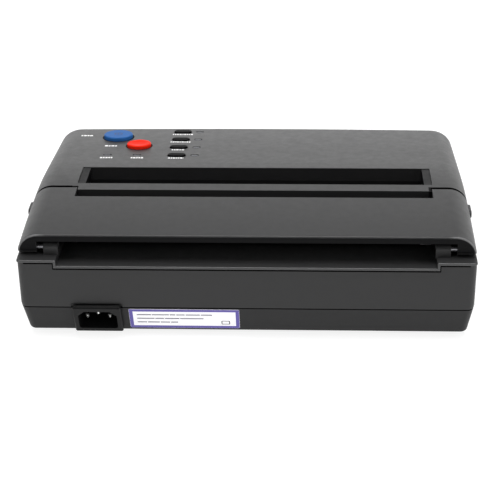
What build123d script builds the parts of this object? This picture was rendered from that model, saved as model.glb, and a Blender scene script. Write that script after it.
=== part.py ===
from build123d import *
import os
from math import atan2, cos, pi, radians, sin, sqrt, tan

os.makedirs("parts", exist_ok=True)

# Thermal stencil copier, in millimetres. The user stands at -Y, the hinge and the paper exit
# are at +Y, +X is the user's right hand. The origin is the centre of the footprint, at the
# level that the feet stand on.

# ---- casing -----------------------------------------------------------------------------
slot_width = 218.4
side_room = 30.8
panel_depth = 98.0
front_bow = 3.0
foot_height = 3.0
base_height = 21.5
crease_band = 1.8
shelf_rise = 30.9
ramp_drop = 3.8
crest_rise = 16.6
wall = 2.5
cover_wall = 3.0
base_inset = 8.5
base_side_inset = 2.6
crease_inset = 0.3
rear_corner = 4.5
front_corner = 16.0
base_corner = 4.5
base_edge_radius = 2.6
base_inner_radius = 0.8
top_edge_radius = 13.0
panel_slope = 7.0
panel_blend_radius = 286.0
cover_crown_radius = 733.0
crown_start = 0.4

# ---- cover and slots, from the rear to the front ----------------------------------------
cover_set_back = 6.0
cover_length = 61.3
seam_gap = 2.0
slot_strip = 4.0
crest_flat = 1.5
slot_depth = 26.7
bar_depth = 9.3
bar_margin = 3.8
notch_gap = 9.5
notch_side_gap = 0.6
slot_shift = -2.9
slot_cheek = 5.1
chute_gap = 0.15
shelf_gap = 0.6
shelf_side = 24.2
lip_drop = 7.0
ramp_rise = 3.2
bead_height = 1.7
bead_proud = 0.8
bead_corner = 2.2
bead_edge_radius = 0.75

# ---- common allowances ------------------------------------------------------------------
past = 10.0  # how far a construction shape runs past the solid that it cuts
sink = 0.5  # how far a post or rib is sunk into the wall that it stands on
near = 0.01  # how close a corner has to be to a plane to count as on it

# ---- appliance inlet --------------------------------------------------------------------
inlet_inset = 47.5
inlet_rise = 12.6
inlet_width = 30.0
inlet_tall = 23.6
inlet_proud = 3.0
inlet_chamfer = 0.7

half_width = slot_width / 2 + side_room
body_width = 2 * half_width
body_depth = cover_set_back + cover_length + seam_gap + slot_strip + slot_depth + panel_depth
base_z = foot_height
floor_z = base_z + wall
seam_z = base_z + base_height
crease_z = seam_z + crease_band
shelf_z = crease_z + shelf_rise
lip_z = shelf_z - ramp_drop
crest_z = shelf_z + crest_rise
cover_lip_z = crest_z - lip_drop
cover_low_z = shelf_z + shelf_gap
form_top = crest_z + past
inlet_x = half_width - inlet_inset
inlet_height = base_z + inlet_rise
rear_slope = atan2(base_inset, base_height)
inlet_overhang = ((inlet_tall / 2 - inlet_chamfer) * sin(rear_slope) + inlet_proud * cos(rear_slope)
                  - (seam_z - inlet_height) * tan(rear_slope))
rear_y = (body_depth - inlet_overhang) / 2
front_y = rear_y - body_depth
cover_rear_y = rear_y - cover_set_back
cover_front_y = cover_rear_y - cover_length
housing_seam_y = cover_front_y - seam_gap
slot_rear_y = housing_seam_y - slot_strip
slot_front_y = slot_rear_y - slot_depth
bar_rear_y = slot_rear_y + bar_depth
notch_y = bar_rear_y + notch_gap
deck_half = half_width - shelf_side

# ---- hinge ------------------------------------------------------------------------------
cheek_corner = 4.0
hinge_y = cover_rear_y - cheek_corner
hinge_z = cover_low_z + cheek_corner
barrel_length = 9.0
barrel_radius = 3.2
pin_radius = 2.0
pin_fit = 0.05
pin_showing = 4.0
cheek_block_depth = 8.0
cheek_reach = 5.0

# ---- control panel ----------------------------------------------------------------------
copy_x = half_width - 43.8
copy_down = 57.6
copy_radius = 10.1
copy_proud = 2.5
stop_x = half_width - 60.6
stop_down = 37.4
stop_radius = 8.3
stop_proud = 2.2
button_edge_radius = 0.9
dish_radius = 6.4
dish_depth = 0.6
button_travel = 0.8
button_gap = 0.35
key_x = half_width - 88.4
key_width = 12.1
key_height = 6.2
key_corner = 2.8
key_edge_radius = 0.4
key_proud = 0.8
key_travel = 0.5
key_pitch = 18.05
first_key_down = 16.2
key_count = 4
lamp_x = key_x - 12.2
lamp_width = 5.0
lamp_height = 2.6
error_lamp_x = copy_x + 2.6
power_lamp_x = stop_x - 0.7
flange_reach = 1.3
flange_thickness = 1.2
flange_gap = 0.25
switch_height = 3.5
board_thickness = 1.6

# ---- release buttons --------------------------------------------------------------------
release_y = cover_front_y + 7.8
release_z = shelf_z + 4.8
release_length = 13.0
release_height = 5.0
release_reach = 1.0
release_edge_radius = 0.6
release_proud = 1.1
release_travel = 2.0
release_gap = 0.35
release_flange = 1.6
release_slack = 1.6
leg_thickness = 1.6
leg_width = 7.0
leg_foot_z = shelf_z - 8.1
hook_nose = 0.8
hook_height = 2.4
hook_slot_gap = 0.8
hook_slot_length = 11.0
hook_slot_shift = -0.8
release_coil_pitch = 1.2
release_spring_wire = 0.3
release_spring_radius = 2.3
release_flange_x = half_width - cover_wall - release_flange - release_slack
leg_inner_x = release_flange_x - leg_thickness
leg_top_z = release_z + release_height / 2

# ---- rollers and gears ------------------------------------------------------------------
gear_module = 0.75
pressure_angle = 20.0
root_depth = 1.2
root_lean = 0.8
tooth_slack = 0.3
gear_width = 5.0
platen_teeth = 24
scan_teeth = 18
platen_idler_teeth = 44
motor_idler_teeth = 48
pinion_teeth = 12
platen_room = 12.0
scan_room = 16.9
roller_axis_z = shelf_z - 13.1
platen_radius = 8.0
scan_radius = 6.0
roller_half = deck_half - 7.8
shaft_radius = 3.0
shaft_fit = 0.05
bushing_radius = 4.5
bushing_flange = 6.0
bushing_seat = 0.02
motor_idler_drop = 35.0
frame_thickness = 1.2
frame_x = half_width - 19.0
frame_foot_z = floor_z + 5.0
gear_gap = 2.4
stud_radius = 2.0

platen_y = notch_y + platen_room
scan_y = slot_front_y + scan_room
trough_front_y = platen_y - 8.0
trough_rear_y = platen_y + 8.8
guide_top_y = platen_y - 14.0


def pitch_radius(teeth):
    return gear_module * teeth / 2


# ---- casing forms -----------------------------------------------------------------------
def case_outline(half, rear, front, rear_round, front_round):
    """Plan of the casing: straight back and sides and a gently bowed front."""
    with BuildSketch() as outline:
        with BuildLine():
            Polyline((-half, front), (-half, rear), (half, rear), (half, front))
            ThreePointArc((half, front), (0, front - front_bow), (-half, front))
        make_face()
        fillet(vertices().group_by(Axis.Y)[0], front_round)
        if rear_round > 0:
            fillet(vertices().group_by(Axis.Y)[-1], rear_round)
    return outline.sketch


def top_line(inset):
    """Side view of the top, from the cover's rear edge over the crest and down the panel."""
    crown = cover_crown_radius - inset
    blend = panel_blend_radius - inset
    crest = crest_z - inset
    flat_rear_y = cover_front_y + crown_start
    flat_front_y = slot_rear_y - crest_flat
    turn = radians(panel_slope)
    span = rear_y - flat_rear_y + past
    sag = crown - sqrt(crown**2 - span**2)
    blend_y = flat_front_y - blend * sin(turn)
    blend_z = crest - blend * (1 - cos(turn))
    end_y = front_y - front_bow - past
    end_z = blend_z - (blend_y - end_y) * tan(turn)
    with BuildSketch() as side_view:
        with BuildLine():
            crown_arc = RadiusArc((flat_rear_y + span, crest - sag), (flat_rear_y, crest), -crown)
            flat = Line(crown_arc @ 1, (flat_front_y, crest))
            blend_arc = RadiusArc(flat @ 1, (blend_y, blend_z), -blend)
            Polyline(blend_arc @ 1, (end_y, end_z), (end_y, 0), (flat_rear_y + span, 0),
                     crown_arc @ 0)
        make_face()
    return side_view.sketch


def body_form(inset):
    """Outer form of the machine above the seam, drawn in by inset on every side."""
    rear = rear_y - inset
    front = front_y + front_bow + inset
    with BuildPart() as form:
        with BuildSketch(Plane.XY.offset(crease_z)):
            add(case_outline(half_width - inset, rear, front, 0, front_corner - inset))
        extrude(amount=form_top - crease_z)
        with BuildSketch(Plane.YZ):
            add(top_line(inset))
        extrude(amount=body_width, both=True, mode=Mode.INTERSECT)
        top_faces = faces().filter_by(lambda f: f.normal_at().Z > 0.9)
        rim = top_faces.edges() - top_faces.edges().filter_by(Axis.X)
        fillet(rim, top_edge_radius - inset)
        with BuildSketch(Plane.XY.offset(seam_z)):
            add(case_outline(half_width - crease_inset - inset, rear, front + crease_inset, 0,
                             front_corner - inset))
        with BuildSketch(Plane.XY.offset(crease_z)):
            add(case_outline(half_width - inset, rear, front, 0, front_corner - inset))
        loft(ruled=True)
    return form.part


def base_form(inset, round_edge):
    """Tapered tub below the seam, drawn in by inset on every side."""
    low = base_z + inset
    with BuildPart() as form:
        with BuildSketch(Plane.XY.offset(low)):
            add(case_outline(half_width - base_side_inset - inset, rear_y - base_inset - inset,
                             front_y + front_bow + base_inset + inset, base_corner - inset,
                             front_corner - inset))
        with BuildSketch(Plane.XY.offset(seam_z)):
            add(case_outline(half_width - crease_inset - inset, rear_y - inset,
                             front_y + front_bow + crease_inset + inset,
                             rear_corner - inset, front_corner - inset))
        loft(ruled=True)
        fillet(faces().sort_by(Axis.Z)[0].edges(), round_edge)
    return form.part


def side_shape(*points):
    """Closed outline in side view, as (y, z) points."""
    with BuildSketch() as shape:
        with BuildLine():
            Polyline(*points, close=True)
        make_face()
    return shape.sketch


def side_plane(x):
    return Plane.YZ.offset(x)


def ramp_height(y):
    return lip_z - ramp_rise * (rear_y - y) / (rear_y - trough_front_y)


def cover_zone(grow):
    """Side view of all that the cover and the paper mouth take from the housing."""
    return side_shape((housing_seam_y - grow, form_top), (housing_seam_y - grow, shelf_z - grow),
                      (rear_y + past, shelf_z - grow), (rear_y + past, form_top))


def ramp_zone(grow):
    """Side view of the sunken paper mouth: guide slope, trough and exit ramp."""
    with BuildSketch() as zone:
        with BuildLine():
            Polyline((guide_top_y, form_top), (guide_top_y, shelf_z),
                     (trough_front_y, ramp_height(trough_front_y)),
                     (rear_y + past, ramp_height(rear_y + past)), (rear_y + past, form_top), close=True)
        make_face()
        if grow > 0:
            offset(amount=grow, kind=Kind.INTERSECTION)
    return zone.sketch


outer_form = body_form(0)
inner_form = body_form(wall)
cover_inner_form = body_form(cover_wall)

# ---- control panel plane ----------------------------------------------------------------
panel_y = slot_rear_y - crest_flat - panel_blend_radius * sin(radians(panel_slope))
panel_z = crest_z - panel_blend_radius * (1 - cos(radians(panel_slope)))
panel = Plane(origin=(0, panel_y, panel_z), x_dir=(1, 0, 0),
              z_dir=(0, -sin(radians(panel_slope)), cos(radians(panel_slope))))
key_places = [(key_x, -first_key_down - key_pitch * i) for i in range(key_count)]
lamp_places = [(lamp_x, y) for x, y in key_places]
lamp_places += [(error_lamp_x, -first_key_down), (power_lamp_x, -first_key_down)]
stem_length = 2.9
board_top = -(wall + flange_gap + flange_thickness + stem_length + switch_height)
board_centre = (half_width - 69.0, -43.5)
board_size = (80.0, 76.0)
board_post_inset = 3.5
board_posts = [(board_centre[0] + sx * (board_size[0] / 2 - board_post_inset),
                board_centre[1] + sy * (board_size[1] / 2 - board_post_inset))
               for sx in (-1, 1) for sy in (-1, 1)]
board_post_radius = 3.0

# ---- cover screws, posts and feet -------------------------------------------------------
post_radius = 4.5
rear_post = (half_width - 18.0, rear_y - 17.5)
front_post = (half_width - 22.0, front_y + 20.5)
post_places = [(sx * x, y) for x, y in (rear_post, front_post) for sx in (-1, 1)]
front_post_run = panel_y - front_post[1] + post_radius
front_post_top = panel_z - front_post_run * tan(radians(panel_slope)) - wall / 2
screw_radius = 1.48
screw_hole = 1.5
screw_head_radius = 2.8
screw_head_height = 2.0
counterbore_radius = 3.2
counterbore_top = base_z + 9.0
screw_length = 24.0
cross_length = 3.0
cross_width = 0.7
cross_depth = 1.2
foot_radius = 7.0
foot_recess = 1.0
foot_fit = 0.1
foot_edge_radius = 0.8
foot_x = half_width - 40.0
foot_places = [(sx * foot_x, y) for sx in (-1, 1) for y in (rear_y - 27.0, front_y + 28.0)]

# ---- rear slope: inlet and label --------------------------------------------------------
slope_y = rear_y - base_inset * (seam_z - inlet_height) / base_height
slope = Plane(origin=(inlet_x, slope_y, inlet_height), x_dir=(-1, 0, 0),
              z_dir=(0, cos(rear_slope), -sin(rear_slope)))
inlet_corner = 1.0
inlet_body_width = 27.0
inlet_body_tall = 19.6
inlet_body_depth = 18.0
socket_width = 24.2
socket_tall = 16.4
socket_bevel = 4.2
socket_corner = 1.6
socket_depth = 14.5
blade_places = [(-7.0, -2.0), (7.0, -2.0), (0.0, 2.0)]
blade_thickness = 2.0
blade_tall = 4.0
blade_recess = 4.8
tail_length = 5.0
blade_fit = 0.01
blade_edge_radius = 0.5
cutout_gap = 0.2
label_x = half_width - 101.25
label_width = 68.5
label_tall = 18.6
label_height = base_z + 11.2
label_thickness = 0.25
label_corner = 0.8
vent_count = 9
vent_pitch = 7.0
vent_length = 34.0
vent_width = 3.0

# ---- upper housing ----------------------------------------------------------------------
with BuildPart() as housing_cavity:
    add(inner_form)
    with BuildSketch(Plane.YZ):
        add(cover_zone(wall))
    extrude(amount=body_width, both=True, mode=Mode.SUBTRACT)
    with BuildSketch(Plane.YZ):
        add(ramp_zone(wall))
    extrude(amount=deck_half + wall, both=True, mode=Mode.SUBTRACT)

bar_width = slot_width + 2 * bar_margin
bar_low_x = slot_shift - bar_width / 2
bar_high_x = slot_shift + bar_width / 2
window_width = slot_width + 2 * slot_cheek
barrel_x = deck_half - 0.8
barrel_end_x = barrel_x + barrel_length
hook_slot_low_x = leg_inner_x - release_travel - hook_slot_gap
hook_slot_high_x = release_flange_x + hook_nose + hook_slot_gap
shelf_edge_radius = 0.5
post_hole_depth = 16.0
screw_hole_depth = 5.0
inlet_relief_width = 32.0
inlet_relief_height = 2.4
inlet_relief_depth = 1.0

# rounded bead along the rear edge of the shelves and of the ramp, stepped down between them
with BuildPart() as rear_bead:
    with BuildSketch(Plane.XY.offset(lip_z - bead_height)):
        add(case_outline(half_width, rear_y + bead_proud, front_y, bead_corner, front_corner))
    extrude(amount=shelf_z - lip_z + bead_height)
    with BuildSketch(Plane.XZ.offset(-rear_y + rear_corner)):
        with BuildLine():
            low = shelf_z - bead_height
            Polyline((-half_width, low), (-deck_half - bead_height, low),
                     (-deck_half - bead_height, lip_z - bead_height),
                     (deck_half + bead_height, lip_z - bead_height), (deck_half + bead_height, low),
                     (half_width, low), (half_width, shelf_z), (deck_half, shelf_z),
                     (deck_half, lip_z), (-deck_half, lip_z), (-deck_half, shelf_z),
                     (-half_width, shelf_z), close=True)
        make_face()
    extrude(amount=-rear_corner - past, mode=Mode.INTERSECT)
    fillet(edges().filter_by(lambda e: e.center().Y > rear_y + near), bead_edge_radius)

with BuildPart() as upper_housing:
    add(outer_form)
    with BuildSketch(Plane.YZ):
        add(cover_zone(0))
    extrude(amount=body_width, both=True, mode=Mode.SUBTRACT)
    with BuildSketch(Plane.YZ):
        add(ramp_zone(0))
    extrude(amount=deck_half, both=True, mode=Mode.SUBTRACT)
    rear_edges = edges().filter_by(lambda e: abs(e.center().X) > half_width - crease_inset
                                   and e.center().Y > rear_y - near
                                   and e.bounding_box().size.Z > crease_z - seam_z - near)
    fillet(rear_edges, rear_corner)
    shelf_edges = edges().filter_by(lambda e: abs(e.center().Z - shelf_z) < near
                                    and (e.center().Y > rear_y - rear_corner
                                         or abs(e.center().X) > half_width - near))
    fillet(shelf_edges, shelf_edge_radius)
    add(housing_cavity.part, mode=Mode.SUBTRACT)
    add(rear_bead.part)
    # bar between the two paper slots, and its rear wall that stands on the deck
    with BuildSketch(side_plane(bar_low_x)):
        add(side_shape((housing_seam_y - sink, crest_z), (bar_rear_y, crest_z),
                       (bar_rear_y, shelf_z - wall / 2), (bar_rear_y - wall, shelf_z - wall / 2),
                       (bar_rear_y - wall, crest_z - wall), (housing_seam_y - sink, crest_z - wall)))
    extrude(amount=bar_width)
    # window for the feed chute
    with BuildSketch(Plane.XY.offset(crest_z - past)):
        with Locations((slot_shift, (slot_front_y + slot_rear_y) / 2)):
            Rectangle(window_width, slot_depth)
    extrude(amount=2 * past, mode=Mode.SUBTRACT)
    # trough that the platen shows through
    with BuildSketch(Plane.XY.offset(roller_axis_z)):
        with Locations((0, (trough_front_y + trough_rear_y) / 2)):
            Rectangle(2 * deck_half, trough_rear_y - trough_front_y)
    extrude(amount=shelf_z - wall - roller_axis_z, mode=Mode.SUBTRACT)
    # openings of the control panel
    with BuildSketch(panel.offset(past)):
        with Locations((copy_x, -copy_down)):
            Circle(copy_radius + button_gap)
        with Locations((stop_x, -stop_down)):
            Circle(stop_radius + button_gap)
        with Locations(*key_places):
            RectangleRounded(key_width + 2 * button_gap, key_height + 2 * button_gap,
                             key_corner + button_gap)
        with Locations(*lamp_places):
            SlotOverall(lamp_width, lamp_height)
    extrude(amount=-past - 2 * wall, mode=Mode.SUBTRACT)
    with BuildSketch(panel.offset(-wall + sink)):
        with Locations(*board_posts):
            Circle(board_post_radius)
    extrude(amount=board_top + wall - sink)
    with BuildSketch(panel.offset(board_top)):
        with Locations(*board_posts):
            Circle(screw_hole)
    extrude(amount=screw_hole_depth, mode=Mode.SUBTRACT)
    # hinge barrels
    for side in (-1, 1):
        with BuildSketch(side_plane(side * barrel_x)):
            with Locations((hinge_y, hinge_z)):
                Circle(barrel_radius)
            with Locations((hinge_y, (hinge_z + shelf_z - wall / 2) / 2)):
                Rectangle(2 * barrel_radius, hinge_z - shelf_z + wall / 2)
        extrude(amount=side * barrel_length)
    with BuildSketch(side_plane(-half_width)):
        with Locations((hinge_y, hinge_z)):
            Circle(pin_radius + bushing_seat)
    extrude(amount=body_width, mode=Mode.SUBTRACT)
    # slots in the shelves for the legs of the release buttons
    with BuildSketch(Plane.XY.offset(shelf_z - 2 * wall)):
        for side in (-1, 1):
            with Locations((side * (hook_slot_low_x + hook_slot_high_x) / 2,
                            release_y + hook_slot_shift)):
                Rectangle(hook_slot_high_x - hook_slot_low_x, hook_slot_length)
    extrude(amount=3 * wall, mode=Mode.SUBTRACT)
    # relief for the body of the inlet, and a shallow one over its flange
    with BuildSketch(slope.offset(past)):
        Rectangle(inlet_body_width + 2 * cutout_gap, inlet_body_tall + 2 * cutout_gap)
    extrude(amount=-past - 2 * wall, mode=Mode.SUBTRACT)
    with BuildSketch(Plane.XY.offset(seam_z)):
        with Locations((inlet_x, rear_y)):
            Rectangle(inlet_relief_width, 2 * inlet_relief_depth)
    extrude(amount=inlet_relief_height, mode=Mode.SUBTRACT)
    # posts for the case screws
    for side in (-1, 1):
        with BuildSketch(Plane.XY.offset(seam_z)):
            with Locations((side * rear_post[0], rear_post[1])):
                Circle(post_radius)
        extrude(amount=shelf_z - wall + sink - seam_z)
        with BuildSketch(Plane.XY.offset(seam_z)):
            with Locations((side * front_post[0], front_post[1])):
                Circle(post_radius)
        extrude(amount=front_post_top - seam_z)
    with BuildSketch(Plane.XY.offset(seam_z)):
        with Locations(*post_places):
            Circle(screw_hole)
    extrude(amount=post_hole_depth, mode=Mode.SUBTRACT)
upper_housing.part.label = "upper_housing"
export_step(upper_housing.part, "parts/upper_housing.step")

# ---- rear cover -------------------------------------------------------------------------
cover_rim_radius = 1.8
notch_low_x = bar_low_x - notch_side_gap
notch_high_x = bar_high_x + notch_side_gap
notch_wall = 2.0
notch_wall_low_z = crest_z - 10.8
release_rib_x = half_width - 14.0
release_rib_thickness = 1.5
bracket_half = deck_half - 1.8
bracket_post_x = bracket_half - 39.0
bracket_posts = [(sx * bracket_post_x, platen_y + y) for sx in (-1, 1) for y in (-5.0, 5.0)]
bracket_post_radius = 3.5
bracket_top_z = crest_z - 7.0
bracket_screw_depth = 3.5
release_rib_low_z = release_z - 3.5
cheek_inner_x = barrel_end_x + pin_showing
skin_low_z = crest_z - cover_wall + sink

with BuildPart() as cover_cavity:
    add(cover_inner_form)
    # the rear end of each cheek stays solid round the hinge pin
    with BuildSketch(Plane.XY.offset(cover_low_z)):
        for side in (-1, 1):
            with Locations((side * (cheek_inner_x + half_width) / 2,
                            cover_rear_y - cheek_block_depth / 2)):
                Rectangle(half_width - cheek_inner_x, cheek_block_depth)
    extrude(amount=form_top - cover_low_z, mode=Mode.SUBTRACT)
    with BuildSketch(Plane.YZ):
        add(side_shape((cover_rear_y - cover_wall, form_top), (cover_rear_y - cover_wall, cover_lip_z),
                       (rear_y + past, cover_lip_z), (rear_y + past, form_top)))
    extrude(amount=body_width, both=True, mode=Mode.SUBTRACT)

with BuildPart() as rear_cover:
    add(outer_form)
    with BuildSketch(Plane.YZ):
        add(side_shape((cover_front_y, form_top), (cover_front_y, cover_low_z),
                       (cover_rear_y, cover_low_z), (cover_rear_y, form_top)))
    extrude(amount=body_width, both=True, mode=Mode.INTERSECT)
    fillet(edges().filter_by(Axis.X).group_by(Axis.Y)[-1].sort_by(Axis.Z)[0], cheek_corner)
    rim_edges = edges().filter_by(lambda e: e.center().Y > cover_rear_y - near)
    fillet(rim_edges, cover_rim_radius)
    add(cover_cavity.part, mode=Mode.SUBTRACT)
    # notch that clears the bar, with a guide wall round it
    with BuildSketch(Plane.XY.offset(notch_wall_low_z)):
        with Locations(((notch_low_x + notch_high_x) / 2, (cover_front_y + notch_y + notch_wall) / 2)):
            Rectangle(notch_high_x - notch_low_x + 2 * notch_wall,
                      notch_y + notch_wall - cover_front_y)
    extrude(amount=skin_low_z - notch_wall_low_z)
    with BuildSketch(Plane.XY.offset(cover_low_z - past)):
        with Locations(((notch_low_x + notch_high_x) / 2, notch_y - cover_length / 2)):
            Rectangle(notch_high_x - notch_low_x, cover_length)
    extrude(amount=form_top - cover_low_z + past, mode=Mode.SUBTRACT)
    # holes for the hinge pins
    with BuildSketch(side_plane(-half_width + cover_wall)):
        with Locations((hinge_y, hinge_z)):
            Circle(pin_radius + pin_fit)
    extrude(amount=body_width - 2 * cover_wall, mode=Mode.SUBTRACT)
    # openings and spring plates of the release buttons
    for side in (-1, 1):
        with BuildSketch(side_plane(side * (half_width - 2 * cover_wall))):
            with Locations((release_y, release_z)):
                SlotOverall(release_length + 2 * release_gap, release_height + 2 * release_gap)
        extrude(amount=side * past, mode=Mode.SUBTRACT)
        with BuildSketch(side_plane(side * release_rib_x)):
            with Locations((release_y, (release_rib_low_z + skin_low_z) / 2)):
                Rectangle(release_length, skin_low_z - release_rib_low_z)
        extrude(amount=side * release_rib_thickness)
    # posts that carry the head bracket
    with BuildSketch(Plane.XY.offset(bracket_top_z)):
        with Locations(*bracket_posts):
            Circle(bracket_post_radius)
    extrude(amount=skin_low_z - bracket_top_z)
    with BuildSketch(Plane.XY.offset(bracket_top_z)):
        with Locations(*bracket_posts):
            Circle(screw_hole)
    extrude(amount=bracket_screw_depth, mode=Mode.SUBTRACT)
rear_cover.part.label = "rear_cover"
export_step(rear_cover.part, "parts/rear_cover.step")

# ---- hinge pins -------------------------------------------------------------------------
pin_set_in = 0.5
with BuildPart() as hinge_pins:
    for side in (-1, 1):
        with BuildSketch(side_plane(side * (barrel_x + pin_set_in))):
            with Locations((hinge_y, hinge_z)):
                Circle(pin_radius)
        extrude(amount=side * (barrel_length + pin_showing + cheek_reach))
hinge_pins.part.label = "hinge_pins"
export_step(hinge_pins.part, "parts/hinge_pins.step")

# ---- feed chute -------------------------------------------------------------------------
chute_foot_z = shelf_z - 4.6
chute_plate = 1.8
chute_throat_front = slot_front_y + 10.4
chute_throat = 3.8
chute_top_z = crest_z - 0.4
chute_front_z = crest_z - 1.4
chute_bend_back = 4.6
chute_bend_z = crest_z - 8.0
chute_lip = 2.6
chute_rear_z = crest_z - 3.0
chute_rear_lip = 3.0
cheek_plate_z = crest_z - 12.0
chute_front_y = slot_front_y + chute_gap
chute_rear_y = slot_rear_y - chute_gap
throat_rear_y = chute_throat_front + chute_throat

with BuildPart() as feed_chute:
    with BuildSketch(side_plane(slot_shift - slot_width / 2)):
        # front plate, bent once, then rear plate
        add(side_shape((chute_front_y, chute_front_z),
                       (slot_front_y + chute_bend_back, chute_bend_z),
                       (chute_throat_front, chute_foot_z),
                       (chute_throat_front - chute_plate, chute_foot_z),
                       (slot_front_y + chute_bend_back - chute_plate, chute_bend_z - sink),
                       (chute_front_y, chute_front_z - chute_lip)))
        add(side_shape((chute_rear_y, chute_rear_z), (chute_rear_y, chute_rear_z - chute_rear_lip),
                       (throat_rear_y + chute_plate, chute_foot_z), (throat_rear_y, chute_foot_z),
                       (chute_rear_y - chute_plate, chute_rear_z - chute_plate)))
    extrude(amount=slot_width)
    # end plates
    for side in (-1, 1):
        with BuildSketch(side_plane(slot_shift + side * slot_width / 2)):
            add(side_shape((chute_front_y, chute_front_z), (chute_rear_y, chute_top_z),
                           (chute_rear_y, cheek_plate_z),
                           (throat_rear_y + chute_plate, chute_foot_z),
                           (chute_throat_front - chute_plate, chute_foot_z),
                           (chute_front_y, cheek_plate_z)))
        extrude(amount=side * (slot_cheek - chute_gap))
feed_chute.part.label = "feed_chute"
export_step(feed_chute.part, "parts/feed_chute.step")

# ---- buttons and keys of the control panel ----------------------------------------------
stem_radius = 2.0
key_flange_reach = 0.8
ball_radius = (dish_radius**2 + dish_depth**2) / (2 * dish_depth)
ball_centre = stop_proud - dish_depth + ball_radius
stem_gap = 0.1
stem_end = board_top + switch_height + stem_gap
flange_top = -wall - flange_gap
flange_low = flange_top - flange_thickness

with BuildPart() as copy_button:
    with BuildSketch(panel.offset(flange_top)):
        with Locations((copy_x, -copy_down)):
            Circle(copy_radius)
    extrude(amount=copy_proud - flange_top)
    fillet(faces().sort_by(Axis.Z)[-1].edges(), button_edge_radius)
    with BuildSketch(panel.offset(flange_low)):
        with Locations((copy_x, -copy_down)):
            Circle(copy_radius + flange_reach)
    extrude(amount=flange_thickness)
    with BuildSketch(panel.offset(stem_end + button_travel)):
        with Locations((copy_x, -copy_down)):
            Circle(stem_radius)
    extrude(amount=flange_low - stem_end - button_travel)
copy_button.part.label = "copy_button"
export_step(copy_button.part, "parts/copy_button.step")

with BuildPart() as stop_button:
    with BuildSketch(panel.offset(flange_top)):
        with Locations((stop_x, -stop_down)):
            Circle(stop_radius)
    extrude(amount=stop_proud - flange_top)
    fillet(faces().sort_by(Axis.Z)[-1].edges(), button_edge_radius)
    with Locations(panel.from_local_coords((stop_x, -stop_down, ball_centre))):
        Sphere(ball_radius, mode=Mode.SUBTRACT)
    with BuildSketch(panel.offset(flange_low)):
        with Locations((stop_x, -stop_down)):
            Circle(stop_radius + flange_reach)
    extrude(amount=flange_thickness)
    with BuildSketch(panel.offset(stem_end + button_travel)):
        with Locations((stop_x, -stop_down)):
            Circle(stem_radius)
    extrude(amount=flange_low - stem_end - button_travel)
stop_button.part.label = "stop_button"
export_step(stop_button.part, "parts/stop_button.step")

for number, place in enumerate(key_places, start=1):
    with BuildPart() as mode_key:
        with BuildSketch(panel.offset(flange_top)):
            with Locations(place):
                RectangleRounded(key_width, key_height, key_corner)
        extrude(amount=key_proud - flange_top)
        fillet(faces().sort_by(Axis.Z)[-1].edges(), key_edge_radius)
        with BuildSketch(panel.offset(flange_low)):
            with Locations(place):
                RectangleRounded(key_width + 2 * key_flange_reach,
                                 key_height + 2 * key_flange_reach, key_corner)
        extrude(amount=flange_thickness)
        with BuildSketch(panel.offset(stem_end + key_travel)):
            with Locations(place):
                Circle(stem_radius)
        extrude(amount=flange_low - stem_end - key_travel)
    mode_key.part.label = f"mode_key_{number}"
    export_step(mode_key.part, f"parts/mode_key_{number}.step")

lens_gap = 0.05
lens_proud = 0.1
lens_deep = 1.0
with BuildPart() as indicator_lenses:
    with BuildSketch(panel.offset(-wall - lens_deep)):
        with Locations(*lamp_places):
            SlotOverall(lamp_width - 2 * lens_gap, lamp_height - 2 * lens_gap)
    extrude(amount=wall + lens_deep + lens_proud)
indicator_lenses.part.label = "indicator_lenses"
export_step(indicator_lenses.part, "parts/indicator_lenses.step")

# ---- panel board ------------------------------------------------------------------------
screw_pass = 0.2  # how much wider than its screw a hole in a plate is
with BuildPart() as panel_board:
    with BuildSketch(panel.offset(board_top)):
        with Locations(board_centre):
            Rectangle(*board_size)
        with Locations(*board_posts):
            Circle(screw_hole + screw_pass, mode=Mode.SUBTRACT)
    extrude(amount=-board_thickness)
panel_board.part.label = "panel_board"
export_step(panel_board.part, "parts/panel_board.step")

switch_places = [(copy_x, -copy_down), (stop_x, -stop_down)] + key_places
switch_size = 6.0
plunger_radius = 1.7
plunger_height = 0.8
with BuildPart() as tact_switches:
    with BuildSketch(panel.offset(board_top)):
        with Locations(*switch_places):
            Rectangle(switch_size, switch_size)
    extrude(amount=switch_height - plunger_height)
    with BuildSketch(panel.offset(board_top + switch_height - plunger_height)):
        with Locations(*switch_places):
            Circle(plunger_radius)
    extrude(amount=plunger_height)
tact_switches.part.label = "tact_switches"
export_step(tact_switches.part, "parts/tact_switches.step")

panel_lamp_radius = 1.5
lamp_gap = 0.3
with BuildPart() as panel_lamps:
    with BuildSketch(panel.offset(board_top)):
        with Locations(*lamp_places):
            Circle(panel_lamp_radius)
    extrude(amount=-wall - lens_deep - lamp_gap - board_top)
panel_lamps.part.label = "panel_lamps"
export_step(panel_lamps.part, "parts/panel_lamps.step")

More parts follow.
